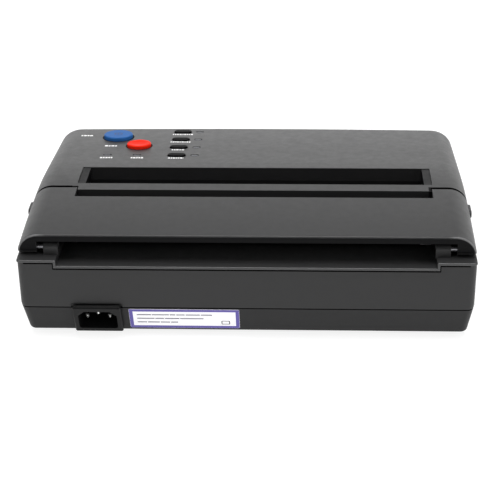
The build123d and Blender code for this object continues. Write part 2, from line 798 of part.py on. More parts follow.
# ---- release buttons --------------------------------------------------------------------
for side, name in ((-1, "release_button_left"), (1, "release_button_right")):
    with BuildPart() as release_button:
        with BuildSketch(side_plane(side * release_flange_x)):
            with Locations((release_y, release_z)):
                SlotOverall(release_length, release_height)
        extrude(amount=side * (half_width + release_proud - release_flange_x))
        fillet(faces().sort_by(Axis.X)[-1 if side > 0 else 0].edges(), release_edge_radius)
        with BuildSketch(side_plane(side * release_flange_x)):
            with Locations((release_y, release_z)):
                SlotOverall(release_length + 2 * release_reach, release_height + 2 * release_reach)
        extrude(amount=side * release_flange)
        with BuildSketch(side_plane(side * leg_inner_x)):
            with Locations((release_y, (leg_top_z + leg_foot_z) / 2)):
                Rectangle(leg_width, leg_top_z - leg_foot_z)
        extrude(amount=side * leg_thickness)
        with BuildSketch(side_plane(side * release_flange_x)):
            with Locations((release_y, leg_foot_z + hook_height / 2)):
                Rectangle(leg_width, hook_height)
        extrude(amount=side * hook_nose)
    release_button.part.label = name
    export_step(release_button.part, f"parts/{name}.step")

spring_seat_x = release_rib_x + release_rib_thickness
release_coil_length = leg_inner_x - spring_seat_x - 2 * release_spring_wire
for side, name in ((-1, "release_spring_left"), (1, "release_spring_right")):
    with BuildPart() as release_spring:
        with BuildLine():
            coil = Helix(pitch=release_coil_pitch, height=release_coil_length,
                         radius=release_spring_radius,
                         center=(side * (spring_seat_x + release_spring_wire), release_y, release_z),
                         direction=(side, 0, 0))
        with BuildSketch(Plane(origin=coil @ 0, z_dir=coil % 0)):
            Circle(release_spring_wire)
        sweep(path=coil, is_frenet=True)
    release_spring.part.label = name
    export_step(release_spring.part, f"parts/{name}.step")

# ---- steel side frames, boards and their seats ------------------------------------------
frame_front_y = scan_y - 75.0
frame_rear_y = platen_y + 19.0
plate_gap = 0.4
frame_top_z = shelf_z - wall - plate_gap
tab_length = 12.0
tab_inset = 8.0
tab_reach = 11.0
tab_places = [frame_front_y + tab_inset, frame_rear_y - tab_inset]
tab_boss_x = frame_x - 6.0
tab_boss_radius = 4.0
board_z = floor_z + 8.5
cable_x = board_centre[0] - 27.0
main_board_size = (100.0, 62.0)
main_board_centre = (cable_x - 39.0, front_y + 48.0)
power_board_size = (84.0, 44.0)
power_board_centre = (half_width - 79.0, rear_y - 51.0)
board_hole_inset = 4.5
board_boss_radius = 3.5


def board_holes(centre, size):
    return [(centre[0] + sx * (size[0] / 2 - board_hole_inset),
             centre[1] + sy * (size[1] / 2 - board_hole_inset)) for sx in (-1, 1) for sy in (-1, 1)]


main_holes = board_holes(main_board_centre, main_board_size)
power_holes = board_holes(power_board_centre, power_board_size)
tab_holes = [(sx * tab_boss_x, y) for sx in (-1, 1) for y in tab_places]

# ---- lower case -------------------------------------------------------------------------
tap_floor = 0.5
groove_depth = 0.8
groove_height = 0.8
tub = base_form(0, base_edge_radius)
tub_inside = base_form(wall, base_inner_radius)

with BuildPart() as lower_case:
    add(tub)
    add(tub_inside, mode=Mode.SUBTRACT)
    # shadow groove round the top edge
    with BuildSketch(Plane.XY.offset(seam_z)):
        Rectangle(body_width + past, body_depth + 2 * past)
        add(case_outline(half_width - crease_inset - groove_depth, rear_y - groove_depth,
                         front_y + front_bow + crease_inset + groove_depth,
                         rear_corner - groove_depth, front_corner - groove_depth),
            mode=Mode.SUBTRACT)
    extrude(amount=-groove_height, mode=Mode.SUBTRACT)
    with BuildSketch(Plane.XY.offset(floor_z - sink)):
        with Locations(*post_places):
            Circle(post_radius)
    extrude(amount=seam_z - floor_z + sink)
    with BuildSketch(Plane.XY.offset(floor_z - sink)):
        with Locations(*main_holes, *power_holes):
            Circle(board_boss_radius)
    extrude(amount=board_z - floor_z + sink)
    with BuildSketch(Plane.XY.offset(floor_z - sink)):
        with Locations(*tab_holes):
            Circle(tab_boss_radius)
    extrude(amount=frame_foot_z - floor_z + sink)
    with BuildSketch(Plane.XY.offset(frame_foot_z)):
        with Locations(*tab_holes):
            Circle(screw_hole)
    extrude(amount=floor_z + tap_floor - frame_foot_z, mode=Mode.SUBTRACT)
    with BuildSketch(Plane.XY.offset(board_z)):
        with Locations(*main_holes, *power_holes):
            Circle(screw_hole)
    extrude(amount=-screw_hole_depth, mode=Mode.SUBTRACT)
    with BuildSketch(Plane.XY.offset(base_z)):
        with Locations(*post_places):
            Circle(counterbore_radius)
    extrude(amount=counterbore_top - base_z, mode=Mode.SUBTRACT)
    with BuildSketch(Plane.XY.offset(base_z)):
        with Locations(*post_places):
            Circle(screw_hole + screw_pass)
    extrude(amount=base_height, mode=Mode.SUBTRACT)
    with BuildSketch(Plane.XY.offset(base_z)):
        with Locations(*foot_places):
            Circle(foot_radius + foot_fit)
    extrude(amount=foot_recess, mode=Mode.SUBTRACT)
    with BuildSketch(Plane.XY.offset(base_z)):
        with Locations((main_board_centre[0], main_board_centre[1])):
            with GridLocations(vent_pitch, 0, vent_count, 1):
                SlotOverall(vent_length, vent_width, rotation=90)
    extrude(amount=wall, mode=Mode.SUBTRACT)
    with BuildSketch(slope.offset(past)):
        Rectangle(inlet_body_width + 2 * cutout_gap, inlet_body_tall + 2 * cutout_gap)
    extrude(amount=-past - 2 * wall, mode=Mode.SUBTRACT)
lower_case.part.label = "lower_case"
export_step(lower_case.part, "parts/lower_case.step")

# ---- feet and case screws ---------------------------------------------------------------
with BuildPart() as rubber_feet:
    with BuildSketch(Plane.XY):
        with Locations(*foot_places):
            Circle(foot_radius)
    extrude(amount=foot_height + foot_recess)
    fillet(edges().group_by(Axis.Z)[0], foot_edge_radius)
rubber_feet.part.label = "rubber_feet"
export_step(rubber_feet.part, "parts/rubber_feet.step")

with BuildPart() as case_screws:
    with BuildSketch(Plane.XY.offset(counterbore_top)):
        with Locations(*post_places):
            Circle(screw_head_radius)
    extrude(amount=-screw_head_height)
    with BuildSketch(Plane.XY.offset(counterbore_top)):
        with Locations(*post_places):
            Circle(screw_radius)
    extrude(amount=screw_length)
    with BuildSketch(Plane.XY.offset(counterbore_top - screw_head_height)):
        with Locations(*post_places):
            Rectangle(cross_length, cross_width)
            Rectangle(cross_width, cross_length)
    extrude(amount=cross_depth, mode=Mode.SUBTRACT)
case_screws.part.label = "case_screws"
export_step(case_screws.part, "parts/case_screws.step")

# ---- appliance inlet --------------------------------------------------------------------
with BuildPart() as inlet_housing:
    with BuildSketch(slope):
        RectangleRounded(inlet_width, inlet_tall, inlet_corner)
    extrude(amount=inlet_proud)
    chamfer(faces().sort_by(Axis.Y)[-1].edges(), inlet_chamfer)
    with BuildSketch(slope):
        Rectangle(inlet_body_width, inlet_body_tall)
    extrude(amount=-inlet_body_depth)
    with BuildSketch(slope.offset(inlet_proud)):
        Rectangle(socket_width, socket_tall)
        chamfer(vertices().group_by(Axis.Y)[-1], socket_bevel)
        fillet(vertices().group_by(Axis.Y)[0], socket_corner)
    extrude(amount=-inlet_proud - socket_depth, mode=Mode.SUBTRACT)
    with BuildSketch(slope.offset(-socket_depth)):
        with Locations(*blade_places):
            Rectangle(blade_thickness, blade_tall)
    extrude(amount=-past, mode=Mode.SUBTRACT)
inlet_housing.part.label = "inlet_housing"
export_step(inlet_housing.part, "parts/inlet_housing.step")

with BuildPart() as inlet_blades:
    with BuildSketch(slope.offset(-inlet_body_depth - tail_length)):
        with Locations(*blade_places):
            Rectangle(blade_thickness - 2 * blade_fit, blade_tall - 2 * blade_fit)
    extrude(amount=inlet_body_depth + tail_length + inlet_proud - blade_recess)
    fillet(edges().filter_by(Axis.X), blade_edge_radius)
inlet_blades.part.label = "inlet_blades"
export_step(inlet_blades.part, "parts/inlet_blades.step")

label_y = rear_y - base_inset * (seam_z - label_height) / base_height
label_plane = Plane(origin=(label_x, label_y, label_height), x_dir=(-1, 0, 0), z_dir=slope.z_dir)
with BuildPart() as rating_label:
    with BuildSketch(label_plane):
        RectangleRounded(label_width, label_tall, label_corner)
    extrude(amount=label_thickness)
rating_label.part.label = "rating_label"
export_step(rating_label.part, "parts/rating_label.step")

# ---- gear places ------------------------------------------------------------------------
platen_gear_r = pitch_radius(platen_teeth)
scan_gear_r = pitch_radius(scan_teeth)
idler_r = pitch_radius(platen_idler_teeth)
motor_idler_r = pitch_radius(motor_idler_teeth)
pinion_r = pitch_radius(pinion_teeth)
axis_gap = platen_y - scan_y
reach_scan = scan_gear_r + idler_r
reach_platen = platen_gear_r + idler_r
idler_along = (axis_gap**2 + reach_scan**2 - reach_platen**2) / (2 * axis_gap)
idler_down = sqrt(reach_scan**2 - idler_along**2)
platen_place = (platen_y, roller_axis_z)
scan_place = (scan_y, roller_axis_z)
idler_place = (scan_y + idler_along, roller_axis_z - idler_down)
motor_idler_place = (scan_y - (scan_gear_r + motor_idler_r) * cos(radians(motor_idler_drop)),
                     roller_axis_z - (scan_gear_r + motor_idler_r) * sin(radians(motor_idler_drop)))
pinion_reach = motor_idler_r + pinion_r
pinion_place = (motor_idler_place[0] - pinion_reach, motor_idler_place[1])
gear_inner_x = frame_x + frame_thickness + gear_gap
gear_outer_x = gear_inner_x + gear_width


def bearing(from_place, to_place):
    return atan2(to_place[1] - from_place[1], to_place[0] - from_place[0])


def meshed_phase(driver_place, driver_teeth, driver_phase, place, teeth):
    """Angle of one tooth of a gear, so that it meets a gap of the gear that drives it."""
    line = bearing(driver_place, place)
    shift = (driver_phase - line) * pitch_radius(driver_teeth) + gear_module * pi / 2
    return line + pi - shift / pitch_radius(teeth)


def gear_outline(teeth, phase):
    """Outline of a spur gear with straight flanks, one tooth centred on the phase angle."""
    pitch_r = pitch_radius(teeth)
    outer_r = pitch_r + gear_module
    root_r = pitch_r - root_depth * gear_module
    half_pitch = (gear_module * pi / 4 - tooth_slack / 2) / pitch_r
    lean = tan(radians(pressure_angle)) * gear_module
    half_tip = half_pitch - lean / pitch_r
    half_root = half_pitch + root_lean * lean / pitch_r
    points = []
    for tooth in range(teeth):
        middle = phase + 2 * pi * tooth / teeth
        for radius, angle in ((root_r, -half_root), (outer_r, -half_tip),
                              (outer_r, half_tip), (root_r, half_root)):
            points.append((radius * cos(middle + angle), radius * sin(middle + angle)))
    with BuildSketch() as outline:
        with BuildLine():
            Polyline(*points, close=True)
        make_face()
    return outline.sketch


platen_phase = 0.0
idler_phase = meshed_phase(platen_place, platen_teeth, platen_phase, idler_place,
                           platen_idler_teeth)
scan_phase = meshed_phase(idler_place, platen_idler_teeth, idler_phase, scan_place, scan_teeth)
motor_idler_phase = meshed_phase(scan_place, scan_teeth, scan_phase, motor_idler_place,
                                 motor_idler_teeth)
pinion_phase = meshed_phase(motor_idler_place, motor_idler_teeth, motor_idler_phase,
                            pinion_place, pinion_teeth)

platen_hub_radius = 4.6
scan_hub_radius = 4.2
stud_hub_radius = 4.0
pinion_hub_radius = 2.9
motor_shaft_radius = 1.5
gears = [("platen_gear", platen_place, platen_teeth, platen_phase, shaft_radius, platen_hub_radius),
         ("scan_gear", scan_place, scan_teeth, scan_phase, shaft_radius, scan_hub_radius),
         ("platen_idler_gear", idler_place, platen_idler_teeth, idler_phase,
          stud_radius + shaft_fit, stud_hub_radius),
         ("motor_idler_gear", motor_idler_place, motor_idler_teeth, motor_idler_phase,
          stud_radius + shaft_fit, stud_hub_radius),
         ("motor_pinion", pinion_place, pinion_teeth, pinion_phase, motor_shaft_radius,
          pinion_hub_radius)]
hub_height = 1.0
hole_ring = 0.6  # ring of lightening holes, as a share of the pitch radius
hole_size = 0.17
hole_count = 6
for name, place, teeth, phase, bore, hub_radius in gears:
    with BuildPart() as gear:
        with BuildSketch(side_plane(-gear_outer_x)):
            with Locations(place):
                add(gear_outline(teeth, phase))
        extrude(amount=gear_width)
        with BuildSketch(side_plane(-gear_inner_x)):
            with Locations(place):
                Circle(hub_radius)
        extrude(amount=hub_height)
        with BuildSketch(side_plane(-gear_outer_x)):
            with Locations(place):
                Circle(bore)
                if teeth > platen_teeth:
                    with PolarLocations(pitch_radius(teeth) * hole_ring, hole_count):
                        Circle(pitch_radius(teeth) * hole_size)
        extrude(amount=gear_width + hub_height, mode=Mode.SUBTRACT)
    gear.part.label = name
    export_step(gear.part, f"parts/{name}.step")

# ---- rollers and shafts -----------------------------------------------------------------
shaft_gear_end = 0.4
shaft_free_end = 3.0
shaft_chamfer = 0.4
shaft_low_x = -gear_outer_x - shaft_gear_end
shaft_high_x = frame_x + frame_thickness + shaft_free_end
for roller_name, shaft_name, place, radius in (
        ("platen_roller", "platen_shaft", platen_place, platen_radius),
        ("scan_roller", "scan_shaft", scan_place, scan_radius)):
    with BuildPart() as roller:
        with BuildSketch(side_plane(-roller_half)):
            with Locations(place):
                Circle(radius)
                Circle(shaft_radius, mode=Mode.SUBTRACT)
        extrude(amount=2 * roller_half)
    roller.part.label = roller_name
    export_step(roller.part, f"parts/{roller_name}.step")
    with BuildPart() as shaft:
        with BuildSketch(side_plane(shaft_low_x)):
            with Locations(place):
                Circle(shaft_radius)
        extrude(amount=shaft_high_x - shaft_low_x)
        chamfer(edges().group_by(Axis.X)[0] + edges().group_by(Axis.X)[-1], shaft_chamfer)
    shaft.part.label = shaft_name
    export_step(shaft.part, f"parts/{shaft_name}.step")

bushing_flange_thickness = 1.6
bushing_proud = 0.8
with BuildPart() as shaft_bushings:
    for side in (-1, 1):
        with BuildSketch(side_plane(side * frame_x)):
            with Locations(platen_place, scan_place):
                Circle(bushing_flange)
        extrude(amount=-side * bushing_flange_thickness)
        with BuildSketch(side_plane(side * frame_x)):
            with Locations(platen_place, scan_place):
                Circle(bushing_radius)
        extrude(amount=side * (frame_thickness + bushing_proud))
    with BuildSketch(side_plane(-half_width)):
        with Locations(platen_place, scan_place):
            Circle(shaft_radius + shaft_fit)
    extrude(amount=body_width, mode=Mode.SUBTRACT)
shaft_bushings.part.label = "shaft_bushings"
export_step(shaft_bushings.part, "parts/shaft_bushings.step")

# ---- motor ------------------------------------------------------------------------------
motor_size = 35.0
motor_length = 26.0
motor_boss_radius = 11.0
motor_boss_height = 1.6
motor_hole_pitch = 26.0
motor_corner = 4.0
motor_boss_fit = 0.1
motor_throat = 0.5
motor_throat_depth = 3.0
motor_hole_radius = 1.3
motor_hole_depth = 4.0
motor_shaft_end = 0.3
motor_shaft_sunk = 2.8
rod_radius = 3.0
rod_bore = 1.25
rod_places = [(scan_y - 16.5, frame_foot_z + 5.5), (frame_rear_y - 4.0, roller_axis_z - 4.0)]

with BuildPart() as drive_motor:
    with BuildSketch(side_plane(-frame_x)):
        with Locations(pinion_place):
            Rectangle(motor_size, motor_size)
            chamfer(vertices(), motor_corner)
    extrude(amount=motor_length)
    with BuildSketch(side_plane(-frame_x)):
        with Locations(pinion_place):
            Circle(motor_boss_radius - motor_boss_fit)
    extrude(amount=-motor_boss_height)
    with BuildSketch(side_plane(-frame_x)):
        with Locations(pinion_place):
            Circle(motor_shaft_radius + motor_throat)
    extrude(amount=motor_throat_depth, both=True, mode=Mode.SUBTRACT)
    with BuildSketch(side_plane(-frame_x)):
        with Locations(pinion_place):
            with GridLocations(motor_hole_pitch, motor_hole_pitch, 2, 2):
                Circle(motor_hole_radius)
    extrude(amount=motor_hole_depth, mode=Mode.SUBTRACT)
drive_motor.part.label = "drive_motor"
export_step(drive_motor.part, "parts/drive_motor.step")

with BuildPart() as motor_shaft:
    with BuildSketch(side_plane(-gear_outer_x - motor_shaft_end)):
        with Locations(pinion_place):
            Circle(motor_shaft_radius)
    extrude(amount=gear_outer_x + motor_shaft_end - frame_x + motor_shaft_sunk)
motor_shaft.part.label = "motor_shaft"
export_step(motor_shaft.part, "parts/motor_shaft.step")

# ---- side frames, rods, studs, screws ---------------------------------------------------
frame_slant = 14.0
frame_hole = 1.6
for side, name in ((-1, "left_side_frame"), (1, "right_side_frame")):
    with BuildPart() as side_frame:
        with BuildSketch(side_plane(side * frame_x)):
            add(side_shape((frame_front_y, frame_foot_z),
                           (frame_front_y, frame_top_z - frame_slant),
                           (frame_front_y + frame_slant, frame_top_z), (frame_rear_y, frame_top_z),
                           (frame_rear_y, frame_foot_z)))
            with Locations(platen_place, scan_place):
                Circle(bushing_radius + bushing_seat, mode=Mode.SUBTRACT)
            with Locations(*rod_places):
                Circle(frame_hole, mode=Mode.SUBTRACT)
            if side < 0:
                with Locations(pinion_place):
                    Circle(motor_boss_radius, mode=Mode.SUBTRACT)
                    with GridLocations(motor_hole_pitch, motor_hole_pitch, 2, 2):
                        Circle(frame_hole, mode=Mode.SUBTRACT)
                with Locations(idler_place, motor_idler_place):
                    Circle(stud_radius, mode=Mode.SUBTRACT)
        extrude(amount=side * frame_thickness)
        with BuildSketch(Plane.XY.offset(frame_foot_z)):
            with Locations(*[(side * (frame_x - (tab_reach - frame_thickness) / 2), y)
                             for y in tab_places]):
                Rectangle(tab_reach + frame_thickness, tab_length)
            with Locations(*[(side * tab_boss_x, y) for y in tab_places]):
                Circle(screw_hole + screw_pass, mode=Mode.SUBTRACT)
        extrude(amount=frame_thickness)
    side_frame.part.label = name
    export_step(side_frame.part, f"parts/{name}.step")

with BuildPart() as tie_rods:
    with BuildSketch(side_plane(-frame_x)):
        with Locations(*rod_places):
            Circle(rod_radius)
            Circle(rod_bore, mode=Mode.SUBTRACT)
    extrude(amount=2 * frame_x)
tie_rods.part.label = "tie_rods"
export_step(tie_rods.part, "parts/tie_rods.step")

stud_head_radius = 3.2
stud_head_height = 0.7
stud_play = 0.2
stud_head_x = gear_outer_x + stud_play
with BuildPart() as gear_studs:
    with BuildSketch(side_plane(-frame_x)):
        with Locations(idler_place, motor_idler_place):
            Circle(stud_radius)
    extrude(amount=frame_x - stud_head_x)
    with BuildSketch(side_plane(-stud_head_x)):
        with Locations(idler_place, motor_idler_place):
            Circle(stud_head_radius)
    extrude(amount=-stud_head_height)
    # collars that keep the gears off the frame
    with BuildSketch(side_plane(-frame_x - frame_thickness)):
        with Locations(idler_place, motor_idler_place):
            Circle(stud_head_radius)
    extrude(amount=hub_height + stud_play - gear_gap)
gear_studs.part.label = "gear_studs"
export_step(gear_studs.part, "parts/gear_studs.step")

pan_head_radius = 2.6
pan_head_height = 1.8
small_screw_radius = 1.2
tab_screw_reach = 3.0
rod_screw_reach = 5.0
motor_head_radius = 2.2
motor_head_height = 1.4
motor_screw_reach = 3.5
with BuildPart() as frame_screws:
    # vertical screws of the frame tabs, into the bosses of the lower case
    with BuildSketch(Plane.XY.offset(frame_foot_z + frame_thickness)):
        with Locations(*tab_holes):
            Circle(pan_head_radius)
    extrude(amount=pan_head_height)
    with BuildSketch(Plane.XY.offset(frame_foot_z + frame_thickness)):
        with Locations(*tab_holes):
            Circle(screw_radius)
    extrude(amount=-frame_thickness - tab_screw_reach)
    # screws at the ends of the tie rods
    for side in (-1, 1):
        with BuildSketch(side_plane(side * (frame_x + frame_thickness))):
            with Locations(*rod_places):
                Circle(pan_head_radius)
        extrude(amount=side * pan_head_height)
        with BuildSketch(side_plane(side * (frame_x + frame_thickness))):
            with Locations(*rod_places):
                Circle(small_screw_radius)
        extrude(amount=-side * (frame_thickness + rod_screw_reach))
frame_screws.part.label = "frame_screws"
export_step(frame_screws.part, "parts/frame_screws.step")

with BuildPart() as motor_screws:
    with BuildSketch(side_plane(-frame_x - frame_thickness)):
        with Locations(pinion_place):
            with GridLocations(motor_hole_pitch, motor_hole_pitch, 2, 2):
                Circle(motor_head_radius)
    extrude(amount=-motor_head_height)
    with BuildSketch(side_plane(-frame_x - frame_thickness)):
        with Locations(pinion_place):
            with GridLocations(motor_hole_pitch, motor_hole_pitch, 2, 2):
                Circle(small_screw_radius)
    extrude(amount=frame_thickness + motor_screw_reach)
motor_screws.part.label = "motor_screws"
export_step(motor_screws.part, "parts/motor_screws.step")

# ---- scan sensor ------------------------------------------------------------------------
sensor_half = frame_x - 5.0
scan_gap = 0.3
sensor_bevel = 2.0
sensor_end = 1.0
bracket_lip = 1.0
sensor_face_y = scan_y - scan_radius - scan_gap
sensor_depth = 14.2
sensor_low_z = roller_axis_z - 7.8
sensor_high_z = roller_axis_z + 7.8
glass_thickness = 1.0
glass_half_height = 4.0
bracket_thickness = 1.2

with BuildPart() as scan_sensor:
    with BuildSketch(side_plane(-sensor_half)):
        add(side_shape((sensor_face_y - sensor_depth, sensor_low_z), (sensor_face_y, sensor_low_z),
                       (sensor_face_y, roller_axis_z - glass_half_height),
                       (sensor_face_y - glass_thickness, roller_axis_z - glass_half_height),
                       (sensor_face_y - glass_thickness, roller_axis_z + glass_half_height),
                       (sensor_face_y, roller_axis_z + glass_half_height),
                       (sensor_face_y, sensor_high_z - sensor_bevel),
                       (sensor_face_y - sensor_bevel, sensor_high_z),
                       (sensor_face_y - sensor_depth, sensor_high_z)))
    extrude(amount=2 * sensor_half)
scan_sensor.part.label = "scan_sensor"
export_step(scan_sensor.part, "parts/scan_sensor.step")

with BuildPart() as sensor_glass:
    with BuildSketch(side_plane(-sensor_half + sensor_end)):
        with Locations((sensor_face_y - glass_thickness / 2, roller_axis_z)):
            Rectangle(glass_thickness, 2 * glass_half_height)
    extrude(amount=2 * (sensor_half - sensor_end))
sensor_glass.part.label = "sensor_glass"
export_step(sensor_glass.part, "parts/sensor_glass.step")

with BuildPart() as sensor_bracket:
    with BuildSketch(side_plane(-frame_x)):
        back = sensor_face_y - sensor_depth
        add(side_shape((back - bracket_thickness, sensor_low_z - bracket_thickness),
                       (sensor_face_y - bracket_lip, sensor_low_z - bracket_thickness),
                       (sensor_face_y - bracket_lip, sensor_low_z), (back, sensor_low_z),
                       (back, sensor_high_z), (back - bracket_thickness, sensor_high_z)))
    extrude(amount=2 * frame_x)
sensor_bracket.part.label = "sensor_bracket"
export_step(sensor_bracket.part, "parts/sensor_bracket.step")

# ---- lower paper guide ------------------------------------------------------------------
guide_sheet = 1.2
guide_paper_gap = 1.8
guide_end = 0.1
guide_round = platen_radius + guide_paper_gap
guide_front_y = sensor_face_y
guide_top_z = ramp_height(trough_rear_y) - wall - plate_gap
guide_low_z = roller_axis_z - guide_round

with BuildPart() as paper_guide:
    with BuildSketch(side_plane(-frame_x + guide_end)):
        with BuildLine():
            under = Line((guide_front_y, guide_low_z - guide_sheet),
                         (platen_y, guide_low_z - guide_sheet))
            outer_bend = CenterArc(platen_place, guide_round + guide_sheet, -90, 90)
            Polyline((platen_y + guide_round + guide_sheet, roller_axis_z),
                     (platen_y + guide_round + guide_sheet, guide_top_z),
                     (platen_y + guide_round, guide_top_z),
                     (platen_y + guide_round, roller_axis_z))
            inner_bend = CenterArc(platen_place, guide_round, -90, 90)
            Polyline((platen_y, guide_low_z), (guide_front_y, guide_low_z),
                     (guide_front_y, guide_low_z - guide_sheet))
        make_face()
    extrude(amount=2 * (frame_x - guide_end))
paper_guide.part.label = "paper_guide"
export_step(paper_guide.part, "parts/paper_guide.step")

# ---- boards in the lower case -----------------------------------------------------------
board_corner = 2.0
for name, centre, size, holes in (("main_board", main_board_centre, main_board_size, main_holes),
                                  ("power_board", power_board_centre, power_board_size,
                                   power_holes)):
    with BuildPart() as board:
        with BuildSketch(Plane.XY.offset(board_z)):
            with Locations(centre):
                RectangleRounded(*size, board_corner)
            with Locations(*holes):
                Circle(screw_hole + screw_pass, mode=Mode.SUBTRACT)
        extrude(amount=board_thickness)
    board.part.label = name
    export_step(board.part, f"parts/{name}.step")

board_top_z = board_z + board_thickness
board_screw_reach = 4.5
with BuildPart() as board_screws:
    with BuildSketch(Plane.XY.offset(board_top_z)):
        with Locations(*main_holes, *power_holes):
            Circle(pan_head_radius)
    extrude(amount=pan_head_height)
    with BuildSketch(Plane.XY.offset(board_top_z)):
        with Locations(*main_holes, *power_holes):
            Circle(screw_radius)
    extrude(amount=-board_thickness - board_screw_reach)
    with BuildSketch(panel.offset(board_top - board_thickness)):
        with Locations(*board_posts):
            Circle(pan_head_radius)
    extrude(amount=-pan_head_height)
    with BuildSketch(panel.offset(board_top - board_thickness)):
        with Locations(*board_posts):
            Circle(screw_radius)
    extrude(amount=board_thickness + board_screw_reach)
board_screws.part.label = "board_screws"
export_step(board_screws.part, "parts/board_screws.step")

# place on the board, width, depth and height
chip_specs = [(-28.0, 4.0, 20.0, 20.0, 1.6), (2.0, 8.0, 14.0, 10.0, 1.4), (28.0, 10.0, 10.0, 10.0, 1.4),
              (-8.0, -16.0, 18.0, 7.6, 2.4), (14.0, -16.0, 18.0, 7.6, 2.4)]
with BuildPart() as main_board_chips:
    for dx, dy, width, depth, height in chip_specs:
        with BuildSketch(Plane.XY.offset(board_top_z)):
            with Locations((main_board_centre[0] + dx, main_board_centre[1] + dy)):
                Rectangle(width, depth)
        extrude(amount=height)
main_board_chips.part.label = "main_board_chips"
export_step(main_board_chips.part, "parts/main_board_chips.step")

connector_height = 7.0
connector_wall = 1.0
connector_floor = 1.5
# place on the board, width and depth
connector_specs = [(-44.0, 12.0, 6.0, 22.0), (-44.0, -14.0, 6.0, 16.0), (44.0, 8.0, 6.0, 26.0),
                   (14.0, 25.0, 28.0, 6.0), (-26.0, 25.0, 20.0, 6.0)]
cable_width = 16.0
cable_thickness = 0.6
cable_set_back = 10.0
cable_plane_y = main_board_centre[1] - cable_set_back
socket_end = 2.0
socket_depth_y = 5.0
panel_under = panel.offset(board_top - board_thickness)
socket_z = 4.0

with BuildPart() as board_connectors:
    for dx, dy, width, depth in connector_specs:
        with BuildSketch(Plane.XY.offset(board_top_z)):
            with Locations((main_board_centre[0] + dx, main_board_centre[1] + dy)):
                Rectangle(width, depth)
                Rectangle(width - 2 * connector_wall, depth - 2 * connector_wall,
                          mode=Mode.SUBTRACT)
        extrude(amount=connector_height)
        with BuildSketch(Plane.XY.offset(board_top_z)):
            with Locations((main_board_centre[0] + dx, main_board_centre[1] + dy)):
                Rectangle(width, depth)
        extrude(amount=connector_floor)
    # the two sockets of the flat cable
    with BuildSketch(panel_under):
        with Locations((cable_x, cable_plane_y - panel_y)):
            Rectangle(cable_width + 2 * socket_end, socket_depth_y)
    extrude(amount=-socket_z)
    with BuildSketch(Plane.XY.offset(board_top_z)):
        with Locations((cable_x, cable_plane_y)):
            Rectangle(cable_width + 2 * socket_end, socket_depth_y)
    extrude(amount=socket_z)
board_connectors.part.label = "board_connectors"
export_step(board_connectors.part, "parts/board_connectors.step")

power_x, power_y = power_board_centre
transformer_size = (28.0, 24.0, 13.4)
transformer_place = (power_x + 2.0, power_y + 1.0)
core_depth = 18.0
winding_width = 20.0
winding_corner = 3.0
winding_inset = 3.0
with BuildPart() as transformer:
    with BuildSketch(Plane.XY.offset(board_top_z)):
        with Locations(transformer_place):
            Rectangle(transformer_size[0], core_depth)
    extrude(amount=transformer_size[2])
    with BuildSketch(Plane.XY.offset(board_top_z + winding_inset)):
        with Locations(transformer_place):
            RectangleRounded(winding_width, transformer_size[1], winding_corner)
    extrude(amount=transformer_size[2] - 2 * winding_inset)
transformer.part.label = "transformer"
export_step(transformer.part, "parts/transformer.step")

capacitor_specs = [(27.0, -8.0, 8.0), (-20.0, 12.0, 5.0), (-20.0, 0.0, 5.0), (-20.0, -12.0, 5.0)]
capacitor_height = 13.0
capacitor_edge_radius = 0.8
with BuildPart() as power_capacitors:
    for dx, dy, radius in capacitor_specs:
        with BuildSketch(Plane.XY.offset(board_top_z)):
            with Locations((power_x + dx, power_y + dy)):
                Circle(radius)
        extrude(amount=capacitor_height)
    fillet(edges().group_by(Axis.Z)[-1], capacitor_edge_radius)
power_capacitors.part.label = "power_capacitors"
export_step(power_capacitors.part, "parts/power_capacitors.step")

sink_place = (power_x - 32.0, power_y)
sink_plate = (3.0, 30.0)
fin_size = (7.0, 2.0)
fin_pitch = 5.6
fin_count = 6
with BuildPart() as heat_sink:
    with BuildSketch(Plane.XY.offset(board_top_z)):
        with Locations(sink_place):
            Rectangle(*sink_plate)
            with GridLocations(0, fin_pitch, 1, fin_count):
                Rectangle(*fin_size)
    extrude(amount=capacitor_height)
heat_sink.part.label = "heat_sink"
export_step(heat_sink.part, "parts/heat_sink.step")

# ---- flat cable between the panel board and the main board ------------------------------
cable_top = panel_under.from_local_coords((cable_x, cable_plane_y - panel_y, -socket_z))
cable_low_z = board_top_z + socket_z
cable_half = cable_thickness / 2
cable_bow = 4.0
cable_bend = 6.0
cable_route = [(cable_plane_y, cable_low_z), (cable_plane_y, cable_low_z + cable_bend),
               (cable_plane_y + cable_bow, cable_low_z + 2 * cable_bend),
               (cable_top.Y + cable_bow, cable_top.Z - 2 * cable_bend),
               (cable_top.Y, cable_top.Z - cable_bend)]
cable_lean = tan(radians(panel_slope)) * cable_half
with BuildPart() as flat_cable:
    with BuildSketch(side_plane(cable_x - cable_width / 2)):
        up_side = [(y - cable_half, z) for y, z in cable_route]
        up_side.append((cable_top.Y - cable_half, cable_top.Z - cable_lean))
        down_side = [(y + cable_half, z) for y, z in cable_route]
        down_side.append((cable_top.Y + cable_half, cable_top.Z + cable_lean))
        add(side_shape(*up_side, *reversed(down_side)))
    extrude(amount=cable_width)
flat_cable.part.label = "flat_cable"
export_step(flat_cable.part, "parts/flat_cable.step")

